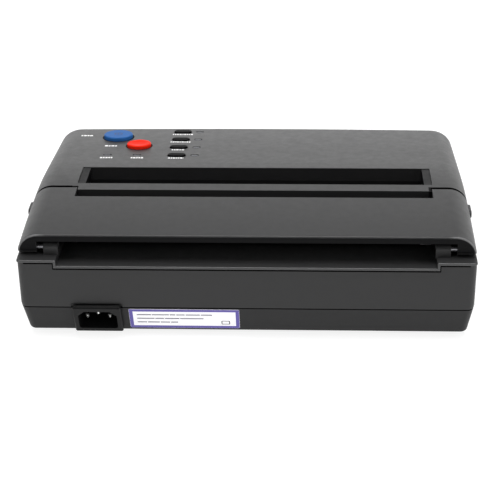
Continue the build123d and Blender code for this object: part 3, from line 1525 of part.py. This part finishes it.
# ---- thermal head in the cover ----------------------------------------------------------
head_clearance = 0.3
strip_thickness = 1.0
strip_depth = 10.0
strip_end = 2.0
head_depth = 16.0
head_thickness = 6.0
bracket_depth = 20.0
bracket_lip_height = 3.5
head_sheet = 1.5
ear_gap = 0.5
ear_top = 16.0
ear_foot = 10.0
ear_foot_gap = 0.4
head_pin_radius = 1.5
head_pin_gap = 0.05
head_pin_end = 0.4
head_groove = (6.0, 1.0)
head_travel = 1.0
strip_low_z = roller_axis_z + platen_radius + head_clearance
head_low_z = strip_low_z + strip_thickness
head_top_z = head_low_z + head_thickness
head_pin_z = head_low_z + head_thickness / 2
bracket_low_z = bracket_top_z - head_sheet
bracket_mid_z = bracket_top_z - head_sheet / 2

with BuildPart() as head_bracket:
    with BuildSketch(Plane.XY.offset(bracket_low_z)):
        with Locations((0, platen_y)):
            Rectangle(2 * bracket_half, bracket_depth)
        with Locations(*bracket_posts):
            Circle(screw_hole + screw_pass, mode=Mode.SUBTRACT)
    extrude(amount=head_sheet)
    # ears with upright slots for the pins of the head
    for side in (-1, 1):
        with BuildSketch(side_plane(side * (bracket_half - head_sheet))):
            add(side_shape((platen_y - ear_top / 2, bracket_mid_z),
                           (platen_y + ear_top / 2, bracket_mid_z),
                           (platen_y + ear_foot / 2, head_low_z + ear_foot_gap),
                           (platen_y - ear_foot / 2, head_low_z + ear_foot_gap)))
            with Locations((platen_y, head_pin_z + head_travel / 2)):
                SlotOverall(2 * (head_pin_radius + head_pin_gap) + head_travel,
                            2 * (head_pin_radius + head_pin_gap), rotation=90, mode=Mode.SUBTRACT)
        extrude(amount=side * head_sheet)
    # stiffening lips along the front and rear edges
    with BuildSketch(Plane.XY.offset(bracket_mid_z)):
        with Locations((0, platen_y)):
            with GridLocations(0, bracket_depth - head_sheet, 1, 2):
                Rectangle(2 * bracket_half, head_sheet)
    extrude(amount=-bracket_lip_height)
head_bracket.part.label = "head_bracket"
export_step(head_bracket.part, "parts/head_bracket.step")

head_ear_x = bracket_half - head_sheet - ear_gap
spring_foot_z = head_top_z - head_groove[1]
with BuildPart() as print_head:
    with BuildSketch(side_plane(-head_ear_x)):
        add(side_shape((platen_y - head_depth / 2, head_low_z), (platen_y + head_depth / 2, head_low_z),
                       (platen_y + head_depth / 2, head_top_z),
                       (platen_y + head_groove[0] / 2, head_top_z),
                       (platen_y + head_groove[0] / 2, spring_foot_z),
                       (platen_y - head_groove[0] / 2, spring_foot_z),
                       (platen_y - head_groove[0] / 2, head_top_z),
                       (platen_y - head_depth / 2, head_top_z)))
    extrude(amount=2 * head_ear_x)
    with BuildSketch(side_plane(-bracket_half - head_pin_end)):
        with Locations((platen_y, head_pin_z)):
            Circle(head_pin_radius)
    extrude(amount=2 * (bracket_half + head_pin_end))
print_head.part.label = "print_head"
export_step(print_head.part, "parts/print_head.step")

with BuildPart() as heater_strip:
    with BuildSketch(Plane.XY.offset(strip_low_z)):
        with Locations((0, platen_y)):
            Rectangle(2 * (roller_half + strip_end), strip_depth)
    extrude(amount=strip_thickness)
heater_strip.part.label = "heater_strip"
export_step(heater_strip.part, "parts/heater_strip.step")

spring_wire = 0.35
spring_radius = 2.4
spring_pitch = 1.5
head_spring_pitch = 60.0
spring_places = [(head_spring_pitch * i, platen_y) for i in (-1.5, -0.5, 0.5, 1.5)]
with BuildPart() as head_springs:
    for x, y in spring_places:
        with BuildLine():
            coil = Helix(pitch=spring_pitch, height=bracket_low_z - spring_foot_z - 2 * spring_wire,
                         radius=spring_radius, center=(x, y, spring_foot_z + spring_wire),
                         direction=(0, 0, 1))
        with BuildSketch(Plane(origin=coil @ 0, z_dir=coil % 0)):
            Circle(spring_wire)
        sweep(path=coil, is_frenet=True)
head_springs.part.label = "head_springs"
export_step(head_springs.part, "parts/head_springs.step")

bracket_screw_reach = 3.0
with BuildPart() as bracket_screws:
    with BuildSketch(Plane.XY.offset(bracket_low_z)):
        with Locations(*bracket_posts):
            Circle(pan_head_radius)
    extrude(amount=-pan_head_height)
    with BuildSketch(Plane.XY.offset(bracket_low_z)):
        with Locations(*bracket_posts):
            Circle(screw_radius)
    extrude(amount=head_sheet + bracket_screw_reach)
bracket_screws.part.label = "bracket_screws"
export_step(bracket_screws.part, "parts/bracket_screws.step")
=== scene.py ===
import math

import bmesh
import bpy
from mathutils import Matrix, Vector


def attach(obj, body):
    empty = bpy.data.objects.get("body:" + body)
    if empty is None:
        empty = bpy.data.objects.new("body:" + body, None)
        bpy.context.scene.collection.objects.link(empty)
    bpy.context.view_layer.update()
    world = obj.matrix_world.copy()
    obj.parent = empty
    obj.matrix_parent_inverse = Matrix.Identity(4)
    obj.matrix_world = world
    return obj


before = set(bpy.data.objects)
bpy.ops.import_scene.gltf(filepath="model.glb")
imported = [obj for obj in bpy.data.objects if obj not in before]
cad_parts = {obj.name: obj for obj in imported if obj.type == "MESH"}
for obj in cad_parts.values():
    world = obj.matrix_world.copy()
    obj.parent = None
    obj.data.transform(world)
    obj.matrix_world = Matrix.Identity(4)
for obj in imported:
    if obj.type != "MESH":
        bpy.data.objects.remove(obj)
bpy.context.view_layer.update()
MM = 0.001

# ---- camera -----------------------------------------------------------------------------
EYE = Vector((-0.034944, 0.853075, 0.475952))
DOWN, YAW, ROLL = 0.497418837, 0.0425286060, -0.0134506744
LENS, SENSOR, NEAR = 102.96, 36.0, 0.02


def place_camera():
    """Looks down on the back of the machine, from behind the hinge."""
    ahead = Vector((math.sin(YAW) * math.cos(DOWN), -math.cos(YAW) * math.cos(DOWN),
                    -math.sin(DOWN)))
    side = ahead.cross(Vector((0, 0, 1))).normalized()
    top = side.cross(ahead)
    right = math.cos(ROLL) * side + math.sin(ROLL) * top
    up = -math.sin(ROLL) * side + math.cos(ROLL) * top
    camera = bpy.data.objects.new("camera", bpy.data.cameras.new("camera"))
    camera.data.lens = LENS
    camera.data.sensor_width = SENSOR
    camera.data.clip_start = NEAR
    turn = Matrix((right, up, -ahead)).transposed().to_4x4()
    camera.matrix_world = Matrix.Translation(EYE) @ turn
    bpy.context.collection.objects.link(camera)
    bpy.context.scene.camera = camera


# ---- node helpers -----------------------------------------------------------------------
def socket(shader, name, value):
    shader.inputs[name].default_value = value


def with_alpha(colour, factor=1.0):
    """The colour times a factor, with a fourth value for alpha."""
    return tuple(c * factor for c in colour) + (1.0,)


def ends(node, kind):
    """The two entries of a Mix node that take values of one kind, and its outlet for them."""
    first, second = (i for i in node.inputs if i.type == kind and i.name in ("A", "B"))
    return first, second, [o for o in node.outputs if o.type == kind][0]


class Finish:
    """A material under construction: one shader, fed by patterns on Object coordinates."""

    def __init__(self, name):
        self.material = bpy.data.materials.new(name)
        self.material.use_nodes = True
        self.nodes = self.material.node_tree.nodes
        self.links = self.material.node_tree.links
        self.shader = self.nodes["Principled BSDF"]
        self.place = self.nodes.new("ShaderNodeTexCoord").outputs["Object"]

    def stretch(self, factors):
        node = self.nodes.new("ShaderNodeMapping")
        node.inputs["Scale"].default_value = factors
        self.links.new(self.place, node.inputs["Vector"])
        return node.outputs["Vector"]

    def noise(self, size, detail=3.0, rough=0.55, where=None):
        """Cloudy noise whose blobs are about size metres across."""
        node = self.nodes.new("ShaderNodeTexNoise")
        node.inputs["Scale"].default_value = 1.0 / size
        node.inputs["Detail"].default_value = detail
        node.inputs["Roughness"].default_value = rough
        self.links.new(where or self.place, node.inputs["Vector"])
        return node.outputs["Fac"]

    def ramp(self, value, low, high, to_low, to_high):
        node = self.nodes.new("ShaderNodeMapRange")
        for key, number in (("From Min", low), ("From Max", high), ("To Min", to_low),
                            ("To Max", to_high)):
            node.inputs[key].default_value = number
        self.links.new(value, node.inputs["Value"])
        return node.outputs["Result"]

    def blend(self, value, low, high):
        """Colour that runs from low to high as value runs from 0 to 1."""
        node = self.nodes.new("ShaderNodeMix")
        node.data_type = "RGBA"
        self.links.new(value, node.inputs["Factor"])
        first, second, result = ends(node, "RGBA")
        first.default_value, second.default_value = low, high
        return result

    def colour(self, output):
        self.links.new(output, self.shader.inputs["Base Color"])

    def roughness(self, output):
        self.links.new(output, self.shader.inputs["Roughness"])

    def bump(self, height, depth):
        node = self.nodes.new("ShaderNodeBump")
        node.inputs["Distance"].default_value = depth
        self.links.new(height, node.inputs["Height"])
        self.links.new(node.outputs["Normal"], self.shader.inputs["Normal"])


# ---- finishes ---------------------------------------------------------------------------
CLOUD = 0.06  # width of the faint clouds in a moulded colour, in metres


def moulded(name, colour, gloss, grain=0.0004, depth=0.00003, swing=0.12, specular=0.35):
    """Moulded plastic: fine spark-eroded grain, a little cloudiness, small changes of gloss."""
    f = Finish(name)
    low, high = with_alpha(colour, 1 - swing), with_alpha(colour, 1 + swing)
    f.colour(f.blend(f.noise(CLOUD, 4.0), low, high))
    f.roughness(f.ramp(f.noise(grain * 12, 3.0), 0.25, 0.75, gloss - 0.04, gloss + 0.05))
    f.bump(f.noise(grain, 2.0, 0.6), depth)
    socket(f.shader, "Specular IOR Level", specular)
    return f.material


def metal(name, colour, gloss, stretch=(1.0, 1.0, 1.0), line=0.0006, depth=0.00002):
    """Bare or plated metal, with fine lines drawn out along one axis."""
    f = Finish(name)
    lines = f.noise(line, 4.0, 0.6, f.stretch(stretch))
    f.colour(f.blend(lines, with_alpha(colour, 0.86), with_alpha(colour, 1.08)))
    f.roughness(f.ramp(lines, 0.3, 0.7, gloss - 0.06, gloss + 0.08))
    f.bump(lines, depth)
    socket(f.shader, "Metallic", 1.0)
    return f.material


def paint_shade_and_light(material, colour, specular, *tests):
    """Paints shade and light: another colour and sheen where each coordinate is past its ramp, X
    being taken unsigned.
    """
    nodes, links = material.node_tree.nodes, material.node_tree.links
    shader = nodes["Principled BSDF"]
    places = [n for n in nodes if n.type == "TEX_COORD"][0]
    mask = None
    for source, axis, low, high in tests:
        split = nodes.new("ShaderNodeSeparateXYZ")
        links.new(places.outputs[source], split.inputs["Vector"])
        value = split.outputs[axis]
        if axis == "X":
            size = nodes.new("ShaderNodeMath")
            size.operation = "ABSOLUTE"
            links.new(value, size.inputs[0])
            value = size.outputs[0]
        step = nodes.new("ShaderNodeMapRange")
        step.inputs["From Min"].default_value = low
        step.inputs["From Max"].default_value = high
        links.new(value, step.inputs["Value"])
        if mask is None:
            mask = step.outputs["Result"]
        else:
            both = nodes.new("ShaderNodeMath")
            both.operation = "MULTIPLY"
            links.new(mask, both.inputs[0])
            links.new(step.outputs["Result"], both.inputs[1])
            mask = both.outputs[0]
    for target, kind, change in (("Base Color", "RGBA", with_alpha(colour)),
                                 ("Specular IOR Level", "VALUE", specular)):
        entry = shader.inputs[target]
        mix = nodes.new("ShaderNodeMix")
        mix.data_type = "RGBA" if kind == "RGBA" else "FLOAT"
        links.new(mask, mix.inputs["Factor"])
        first, second, result = ends(mix, kind)
        second.default_value = change
        if entry.is_linked:
            links.new(entry.links[0].from_socket, first)
        else:
            first.default_value = entry.default_value
        links.new(result, entry)


# Where each patch of painted shade and painted light begins and is complete: a coordinate in
# metres, or how far a face looks along an axis.
FACES_BACK = ("Normal", "Y", 0.9, 0.97)
LEANS_BACK = ("Normal", "Y", 0.25, 0.45)
NOT_QUITE_BACK = ("Normal", "Y", 0.93, 0.85)
FACES_UP = ("Normal", "Z", 0.8, 0.95)
NOT_DOWN = ("Normal", "Z", -0.1, 0.1)
COVER_REAR = ("Object", "Y", 0.08, 0.09)
COVER_REAR_EDGE = ("Object", "Y", 0.08, 0.085)
COVER_SIDES = ("Object", "X", 0.122, 0.13)
COVER_FRONT = ("Object", "Y", 0.0304, 0.0302)
BEAD = ("Object", "Y", 0.0974, 0.0976)
PANEL_FRONT = ("Object", "Y", -0.035, -0.1)
SEAM_FRONT = ("Object", "Y", 0.0274, 0.0276)
SEAM_REAR = ("Object", "Y", 0.034, 0.033)
BESIDE_BAR = ("Object", "X", 0.114, 0.1146)
ABOVE_SHELF = ("Object", "Z", 0.058, 0.059)
BASE_GROOVE = ("Object", "Z", 0.0235, 0.0237)

CASING = (0.023, 0.023, 0.0235)
SHADE = (0.0015, 0.0015, 0.0016)
SHADE_SHEEN = 0.02


def casing_plastic(name):
    return moulded(name, CASING, 0.42, swing=0.06)


def cover_plastic():
    """Casing plastic, with painted shade on the flat rear ends and the front seam, and a painted
    highlight on the outer rear corners.
    """
    material = casing_plastic("cover_plastic")
    # Painted shade on the flat rear-facing ends of the cover.
    paint_shade_and_light(material, (0.005, 0.005, 0.0055), 0.08, FACES_BACK, COVER_REAR)
    # Painted highlight: brighter, glossier colour on the rounded outer rear corners.
    paint_shade_and_light(material, (0.12, 0.12, 0.122), 0.6, LEANS_BACK, NOT_QUITE_BACK, NOT_DOWN,
          COVER_REAR_EDGE, COVER_SIDES)
    # Painted shade on the front edge of the cover, in the seam.
    paint_shade_and_light(material, SHADE, SHADE_SHEEN, COVER_FRONT)
    return material


def housing_plastic():
    """Casing plastic, with painted light on the rear bead and the panel front, and painted shade
    in the seam by the cover.
    """
    material = casing_plastic("casing_plastic")
    # Painted light on the proud rear bead.
    paint_shade_and_light(material, (0.055, 0.055, 0.056), 0.5, BEAD)
    # Painted light: up-facing faces grow lighter towards the panel front.
    paint_shade_and_light(material, (0.045, 0.045, 0.046), 0.42, PANEL_FRONT, FACES_UP)
    # Painted shade in the seam by the cover, beside the bar and above the shelf.
    paint_shade_and_light(material, SHADE, SHADE_SHEEN, SEAM_FRONT, SEAM_REAR, BESIDE_BAR, ABOVE_SHELF)
    return material


def base_plastic():
    """The lower case, with painted shade in the groove that runs along its top edge."""
    material = moulded("base_plastic", (0.0195, 0.0195, 0.02), 0.46, swing=0.06, specular=0.16)
    paint_shade_and_light(material, SHADE, SHADE_SHEEN, BASE_GROOVE)
    return material


finishes = {
    "casing": housing_plastic(),
    "cover": cover_plastic(),
    "base": base_plastic(),
    # Painted shade: the chute is near-black, far darker than the casing plastic, for the shade
    # deep in the paper slot.
    "chute": moulded("chute_plastic", (0.0016, 0.0016, 0.0018), 0.45, specular=0.12),
    "rubber": moulded("foot_rubber", (0.018, 0.018, 0.018), 0.75, grain=0.0008, depth=0.00006),
    "blue": moulded("blue_button_plastic", (0.024, 0.108, 0.32), 0.36, grain=0.0006,
                    depth=0.00001, specular=0.02),
    "red": moulded("red_button_plastic", (0.76, 0.02, 0.006), 0.36, grain=0.0006,
                   depth=0.00001, specular=0.015),
    "key": moulded("key_plastic", (0.0012, 0.0012, 0.0014), 0.5, specular=0.02),
    "release": moulded("release_plastic", (0.022, 0.022, 0.023), 0.4),
    "lens": moulded("smoked_lens", (0.03, 0.034, 0.045), 0.2, depth=0.000004, specular=0.25),
    "lamp": moulded("lamp_resin", (0.55, 0.62, 0.5), 0.15, depth=0.000004),
    "inlet": moulded("inlet_plastic", (0.009, 0.009, 0.0092), 0.42, depth=0.00001, specular=0.12),
    "blade": metal("plated_blade", (0.07, 0.07, 0.068), 0.16, (1, 6, 1)),
    "label": moulded("label_film", (0.97, 0.96, 0.98), 0.5, grain=0.0009, depth=0.000006,
                     swing=0.03),
    "pin": metal("turned_pin", (0.3, 0.3, 0.32), 0.25, (6, 1, 1)),
    "shaft": metal("ground_shaft", (0.6, 0.6, 0.61), 0.22, (8, 1, 1)),
    "sheet": metal("plated_sheet", (0.56, 0.57, 0.57), 0.34, (1, 1, 4), 0.0012),
    "screw": metal("plated_screw", (0.5, 0.5, 0.48), 0.32),
    "spring": metal("spring_wire", (0.5, 0.5, 0.5), 0.3),
    "motor": metal("motor_can", (0.33, 0.33, 0.34), 0.38, (1, 1, 5)),
    "gear": moulded("acetal_gear", (0.72, 0.7, 0.62), 0.38, depth=0.00001),
    "bushing": moulded("bushing_plastic", (0.16, 0.16, 0.15), 0.4),
    "roller": moulded("roller_rubber", (0.03, 0.03, 0.031), 0.62, grain=0.0005, depth=0.00004),
    "sensor": moulded("sensor_plastic", (0.012, 0.012, 0.012), 0.45),
    "glass": moulded("sensor_strip_glass", (0.24, 0.3, 0.3), 0.05, depth=0.000002),
    "board": moulded("board_resist", (0.012, 0.12, 0.04), 0.32, grain=0.0009, depth=0.00001),
    "chip": moulded("chip_resin", (0.012, 0.012, 0.013), 0.4),
    "connector": moulded("connector_nylon", (0.62, 0.57, 0.44), 0.45),
    "core": metal("transformer_core", (0.3, 0.27, 0.2), 0.5, (1, 1, 9)),
    "cable": moulded("cable_jacket", (0.6, 0.6, 0.57), 0.4, depth=0.00001),
    "aluminium": metal("extruded_aluminium", (0.72, 0.73, 0.74), 0.33, (9, 1, 1)),
    "ceramic": moulded("glazed_ceramic", (0.62, 0.56, 0.46), 0.16, depth=0.000004),
    "ink": moulded("white_ink", (0.8, 0.8, 0.8), 0.5, grain=0.0003, depth=0.000004),
    "icon": moulded("icon_ink", (0.004, 0.015, 0.07), 0.45, grain=0.0003, depth=0.000004),
    "border": moulded("border_ink", (0.085, 0.06, 0.36), 0.4, grain=0.0003, depth=0.000004),
    "rule": moulded("grey_ink", (0.2, 0.2, 0.25), 0.45, grain=0.0003, depth=0.000004),
    "dark_rule": moulded("dark_ink", (0.05, 0.05, 0.06), 0.45, grain=0.0003, depth=0.000004),
    "shade": moulded("recess_shade", (0.001, 0.001, 0.0012), 0.6, specular=0.02),
    # Painted glints on the ends of the inlet blades.
    "glint": metal("painted_blade_glint", (0.85, 0.85, 0.84), 0.2, (1, 6, 1)),
}

# Painted light: the label and its border glow a little, though neither is a lamp, to show as
# bright as in the photo.
for key, lift in (("label", 0.13), ("border", 0.03)):
    glow = finishes[key].node_tree.nodes["Principled BSDF"]
    socket(glow, "Emission Color", (1, 1, 1, 1))
    socket(glow, "Emission Strength", lift)

# The pieces that each finish goes on.
finish_of = {
    "casing": ["upper_housing"],
    "cover": ["rear_cover"],
    "base": ["lower_case"],
    "chute": ["feed_chute"],
    "rubber": ["rubber_feet"],
    "blue": ["copy_button"],
    "red": ["stop_button"],
    "key": ["mode_key_1", "mode_key_2", "mode_key_3", "mode_key_4"],
    "release": ["release_button_left", "release_button_right"],
    "lens": ["indicator_lenses"],
    "lamp": ["panel_lamps"],
    "inlet": ["inlet_housing"],
    "blade": ["inlet_blades"],
    "label": ["rating_label"],
    "pin": ["hinge_pins"],
    "shaft": ["platen_shaft", "scan_shaft", "motor_shaft", "tie_rods", "gear_studs"],
    "sheet": ["left_side_frame", "right_side_frame", "sensor_bracket", "head_bracket",
              "paper_guide"],
    "screw": ["case_screws", "frame_screws", "motor_screws", "board_screws", "bracket_screws"],
    "spring": ["head_springs", "release_spring_left", "release_spring_right"],
    "motor": ["drive_motor"],
    "gear": ["platen_gear", "scan_gear", "platen_idler_gear", "motor_idler_gear",
             "motor_pinion"],
    "bushing": ["shaft_bushings"],
    "roller": ["platen_roller", "scan_roller"],
    "sensor": ["scan_sensor"],
    "glass": ["sensor_glass"],
    "board": ["panel_board", "main_board", "power_board"],
    "chip": ["tact_switches", "main_board_chips", "power_capacitors"],
    "connector": ["board_connectors"],
    "core": ["transformer"],
    "cable": ["flat_cable"],
    "aluminium": ["heat_sink", "print_head"],
    "ceramic": ["heater_strip"],
}

for key, names in finish_of.items():
    for name in names:
        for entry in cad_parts[name].material_slots:
            entry.material = finishes[key]


# ---- prints, label, icon, painted shade and painted glints ------------------------------
# Measures of the casing in mm: the panel's slope and where its flat begins, the rear face and the
# seam, how far the back of the lower case leans in over its height, and the two round buttons.
PANEL_SLOPE = math.radians(7.0)
PANEL_ORIGIN = (0, -12.331, 71.668)
REAR_Y, SEAM_Z = 97.324, 24.5
BASE_INSET, BASE_HEIGHT = 8.5, 21.5
LEAN = math.atan2(BASE_INSET, BASE_HEIGHT)
COPY_PLACE, COPY_RADIUS = (96.2, -57.6), 10.1
STOP_PLACE, STOP_RADIUS = (79.4, -37.4), 8.3

# The underside and the top of a print, in mm from the face that it lies on.
SINK, RISE = -0.01, 0.02

# Each caption on the panel: the place of its middle, its width and the shares of its dashes.
CAPTION_HEIGHT, DASH_GAP = 2.5, 0.45
CAPTIONS = ((98.9, -10.5, 8.4, (2, 2, 3, 2, 3)), (78.0, -10.5, 8.4, (3, 2, 2, 3, 2)),
            (51.7, -10.3, 10.4, (1, 3, 2, 2, 3, 2, 3)), (51.8, -28.7, 8.6, (3, 2, 3, 2, 2)),
            (51.5, -46.8, 13.8, (2, 3, 2, 3, 2, 3, 2, 3, 2)),
            (51.2, -64.8, 14.2, (3, 2, 2, 3, 2, 3, 3, 2, 2)), (119.0, -61.0, 8.3, (3, 2, 3, 2)),
            (99.0, -37.1, 8.4, (2, 3, 2, 3)))


def plane_at(origin, across, along, out):
    """The placing of a flat drawing: its origin in mm and its three directions."""
    plane = Matrix((across, along, out)).transposed().to_4x4()
    plane.translation = Vector(origin) * MM
    return plane


def slope_at(x, z):
    """A plane on the leaning back of the lower case, through the point at x and z, in mm."""
    y = REAR_Y - BASE_INSET * (SEAM_Z - z) / BASE_HEIGHT
    return plane_at((x, y, z), (-1, 0, 0), (0, math.sin(LEAN), math.cos(LEAN)),
                    (0, math.cos(LEAN), -math.sin(LEAN)))


PANEL = plane_at(PANEL_ORIGIN, (1, 0, 0), (0, math.cos(PANEL_SLOPE), math.sin(PANEL_SLOPE)),
                 (0, -math.sin(PANEL_SLOPE), math.cos(PANEL_SLOPE)))
LABEL = slope_at(38.75, 14.2)
INLET = slope_at(92.5, 15.6)
BACK = plane_at((0, REAR_Y, 0), (-1, 0, 0), (0, 0, 1), (0, 1, 0))


def strip(mesh, x, y, width, height, low, high, corner=0.2):
    """A thin strip with cut corners, standing on its plane from low to high, in mm."""
    a, b, c = width / 2, height / 2, min(corner, width / 3, height / 3)
    ring = [(a, c - b), (a, b - c), (a - c, b), (c - a, b), (-a, b - c), (-a, c - b), (c - a, -b),
            (a - c, -b)]
    loops = [[mesh.verts.new(((x + u) * MM, (y + v) * MM, z * MM)) for u, v in ring]
             for z in (low, high)]
    mesh.faces.new(loops[1])
    mesh.faces.new(reversed(loops[0]))
    count = len(ring)
    for k in range(count):
        n = (k + 1) % count
        mesh.faces.new((loops[0][k], loops[0][n], loops[1][n], loops[1][k]))


def hoop(mesh, place, inner, outer, low, high, steps):
    """A flat ring round a place, standing on its plane from low to high, in mm."""
    corners = [(inner, low), (inner, high), (outer, high), (outer, low)]
    loops = []
    for k in range(steps):
        turn = math.tau * k / steps
        loops.append([mesh.verts.new(((place[0] + r * math.cos(turn)) * MM,
                                      (place[1] + r * math.sin(turn)) * MM, z * MM))
                      for r, z in corners])
    for k in range(steps):
        ahead = loops[(k + 1) % steps]
        for j in range(4):
            mesh.faces.new((loops[k][j], ahead[j], ahead[(j + 1) % 4], loops[k][(j + 1) % 4]))


def as_piece(work, name, plane, key, body):
    """Makes the drawing a piece on its plane, with its finish, riding on a body."""
    work.transform(plane)
    bmesh.ops.recalc_face_normals(work, faces=work.faces)
    mesh = bpy.data.meshes.new(name)
    work.to_mesh(mesh)
    work.free()
    mesh.materials.append(finishes[key])
    piece = bpy.data.objects.new(name, mesh)
    bpy.context.collection.objects.link(piece)
    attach(piece, body)
    return piece


def prints(name, plane, key, strips, low=SINK, high=RISE):
    """One piece made of several strips on a plane of the casing: prints, painted shade, painted
    glints.
    """
    work = bmesh.new()
    for x, y, width, height in strips:
        strip(work, x, y, width, height, low, high)
    return as_piece(work, name, plane, key, "chassis")


def caption(x, y, width, height, shares):
    """A ruled line broken into dashes, whose shares of its width are given in turn."""
    dashes = []
    room = width - DASH_GAP * (len(shares) - 1)
    left = x - width / 2
    for share in shares:
        size = room * share / sum(shares)
        dashes.append((left + size / 2, y, size, height))
        left += size + DASH_GAP
    return dashes


def ring_of_strips(x, y, width, height, line):
    """Four strips round a rectangle."""
    return [(x, y + (height - line) / 2, width, line), (x, y - (height - line) / 2, width, line),
            (x + (width - line) / 2, y, line, height - 2 * line),
            (x - (width - line) / 2, y, line, height - 2 * line)]


def panel_prints():
    """Ruled lines in the places of the captions by the keys and the buttons."""
    marks = []
    for x, y, width, shares in CAPTIONS:
        marks += caption(x, y, width, CAPTION_HEIGHT, shares)
    prints("panel_captions", PANEL, "ink", marks)


def button_icon():
    """A ring round a cross, printed on the top of the round blue button."""
    low, high, lift, line = 2.499, 2.53, 0.001, 0.6
    x, y = COPY_PLACE
    work = bmesh.new()
    hoop(work, COPY_PLACE, 2.5, 3.0, low, high, 40)
    strip(work, x, y, line, 2.6, low, high)
    strip(work, x, y, 4.6, line, low, high + lift)
    as_piece(work, "copy_icon", PANEL, "icon", "copy")


def well_shade(name, place, radius, near, far):
    """Painted shade: a near-black flat ring at the edge of the recess a round button stands in.
    """
    work = bmesh.new()
    hoop(work, place, radius + near, radius + far, SINK, 0.012, 64)
    as_piece(work, name, PANEL, "shade", "chassis")


def window_shade():
    """Painted shade: near-black strips along the front edge and ends of each indicator window."""
    row_y, pitch = -16.2, 18.05
    windows = [(39.4, row_y - pitch * k) for k in range(4)] + [(98.8, row_y), (78.7, row_y)]
    arches = []
    for x, y in windows:
        arches += [(x, y - 1.3, 4.6, 1.1)]
        arches += [(x + side, y - 0.7, 0.8, 1.5) for side in (-2.4, 2.4)]
    prints("window_shade", PANEL, "shade", arches, SINK, 0.12)


def blade_glints():
    """Painted glints: a bright metal line down the end of each inlet blade."""
    tip = -1.8
    lines = [(-7.0, -2.4, 0.7, 2.4), (7.0, -2.4, 0.7, 2.4), (0.0, 1.4, 0.8, 2.4)]
    prints("blade_glints", INLET, "glint", lines, tip + SINK, tip + RISE)


def bead_shadow_line():
    """Painted shadow: a near-black line under the bead, along the back and round its two steps.
    """
    line = [(0, 51.15, 236.2, 1.1)]
    for side in (-1, 1):
        line += [(side * 126.9, 54.95, 17.6, 1.1), (side * 117.8, 53.15, 0.6, 4.7)]
    prints("bead_shadow_line", BACK, "shade", line)


def label_prints():
    """A border, three ruled lines and a plain box on the label."""
    low, left, row = 0.245, -29.6, 1.0
    border = ring_of_strips(0, 0, 68.3, 18.4, 2.2)
    prints("label_border", LABEL, "border", border, low, 0.27)
    lines = []
    for y, length, shares in ((3.9, 47.0, (5, 6, 2, 3, 5, 4)), (0.2, 41.5, (6, 3, 5, 8)),
                              (-3.5, 25.5, (4, 5, 4, 3))):
        lines += caption(left + length / 2, y, length, row, shares)
    prints("label_rules", LABEL, "rule", lines, low, 0.28)
    prints("label_box", LABEL, "dark_rule", ring_of_strips(25.6, -3.6, 5.4, 3.6, 0.6), low, 0.265)


panel_prints()
well_shade("copy_well_shade", COPY_PLACE, COPY_RADIUS, 0.32, 1.05)
well_shade("stop_well_shade", STOP_PLACE, STOP_RADIUS, 0.32, 0.95)
window_shade()
bead_shadow_line()
blade_glints()
button_icon()
label_prints()


# ---- floor and light --------------------------------------------------------------------
def floor():
    """A wide pale floor that glows, so that it shows nearly white."""
    mesh = bpy.data.meshes.new("floor")
    half = 6.0
    mesh.from_pydata([(-half, -half, 0), (half, -half, 0), (half, half, 0), (-half, half, 0)],
                     [], [(0, 1, 2, 3)])
    plane = bpy.data.objects.new("floor", mesh)
    bpy.context.collection.objects.link(plane)
    f = Finish("pale_floor")
    f.colour(f.blend(f.noise(0.4), with_alpha((0.3,) * 3), with_alpha((0.33,) * 3)))
    socket(f.shader, "Roughness", 0.9)
    socket(f.shader, "Specular IOR Level", 0.1)
    socket(f.shader, "Emission Color", (1, 1, 1, 1))
    socket(f.shader, "Emission Strength", 0.85)
    mesh.materials.append(f.material)


def softbox(name, place, aim, size, brightness):
    """A rectangle of even light, of the given radiance."""
    light = bpy.data.lights.new(name, "AREA")
    light.shape = "RECTANGLE"
    light.size, light.size_y = size
    light.energy = brightness * math.pi * size[0] * size[1]
    holder = bpy.data.objects.new(name, light)
    holder.location = place
    holder.rotation_euler = (Vector(aim) - Vector(place)).to_track_quat("-Z", "Y").to_euler()
    bpy.context.collection.objects.link(holder)


WORLD_STRENGTH = 0.08

# Each light's place, the point it faces, its width and height, and its radiance.
LIGHTS = {
    "far_wall": ((0, -2.4, 0.7), (0, 0, 0.7), (5.0, 1.4), 1.35),
    "far_wall_top": ((0, -2.4, 1.9), (0, 0, 1.9), (5.0, 1.0), 1.1),
    "ceiling": ((0, 0.15, 1.7), (0, 0.1, 0), (1.4, 1.2), 6.0),
    "right_wall": ((-2.2, 0.1, 0.8), (0, 0, 0.4), (2.6, 1.4), 1.6),
    "right_flash": ((-1.6, 1.1, 1.0), (0, 0.09, 0.06), (0.8, 0.8), 2.5),
    "left_flash": ((1.6, 1.1, 1.0), (0, 0.09, 0.06), (0.8, 0.8), 2.0),
    "left_wall": ((2.2, -0.1, 0.8), (0, 0, 0.4), (2.6, 1.4), 1.0),
}


def studio():
    """White walls ahead and at the sides, a bright ceiling, two soft lights behind the camera."""
    world = bpy.data.worlds.new("studio")
    world.use_nodes = True
    background = world.node_tree.nodes["Background"]
    socket(background, "Color", (1, 1, 1, 1))
    socket(background, "Strength", WORLD_STRENGTH)
    bpy.context.scene.world = world
    bpy.context.scene.view_settings.view_transform = "Standard"
    for name, (place, aim, size, brightness) in LIGHTS.items():
        softbox(name, place, aim, size, brightness)


place_camera()
floor()
studio()
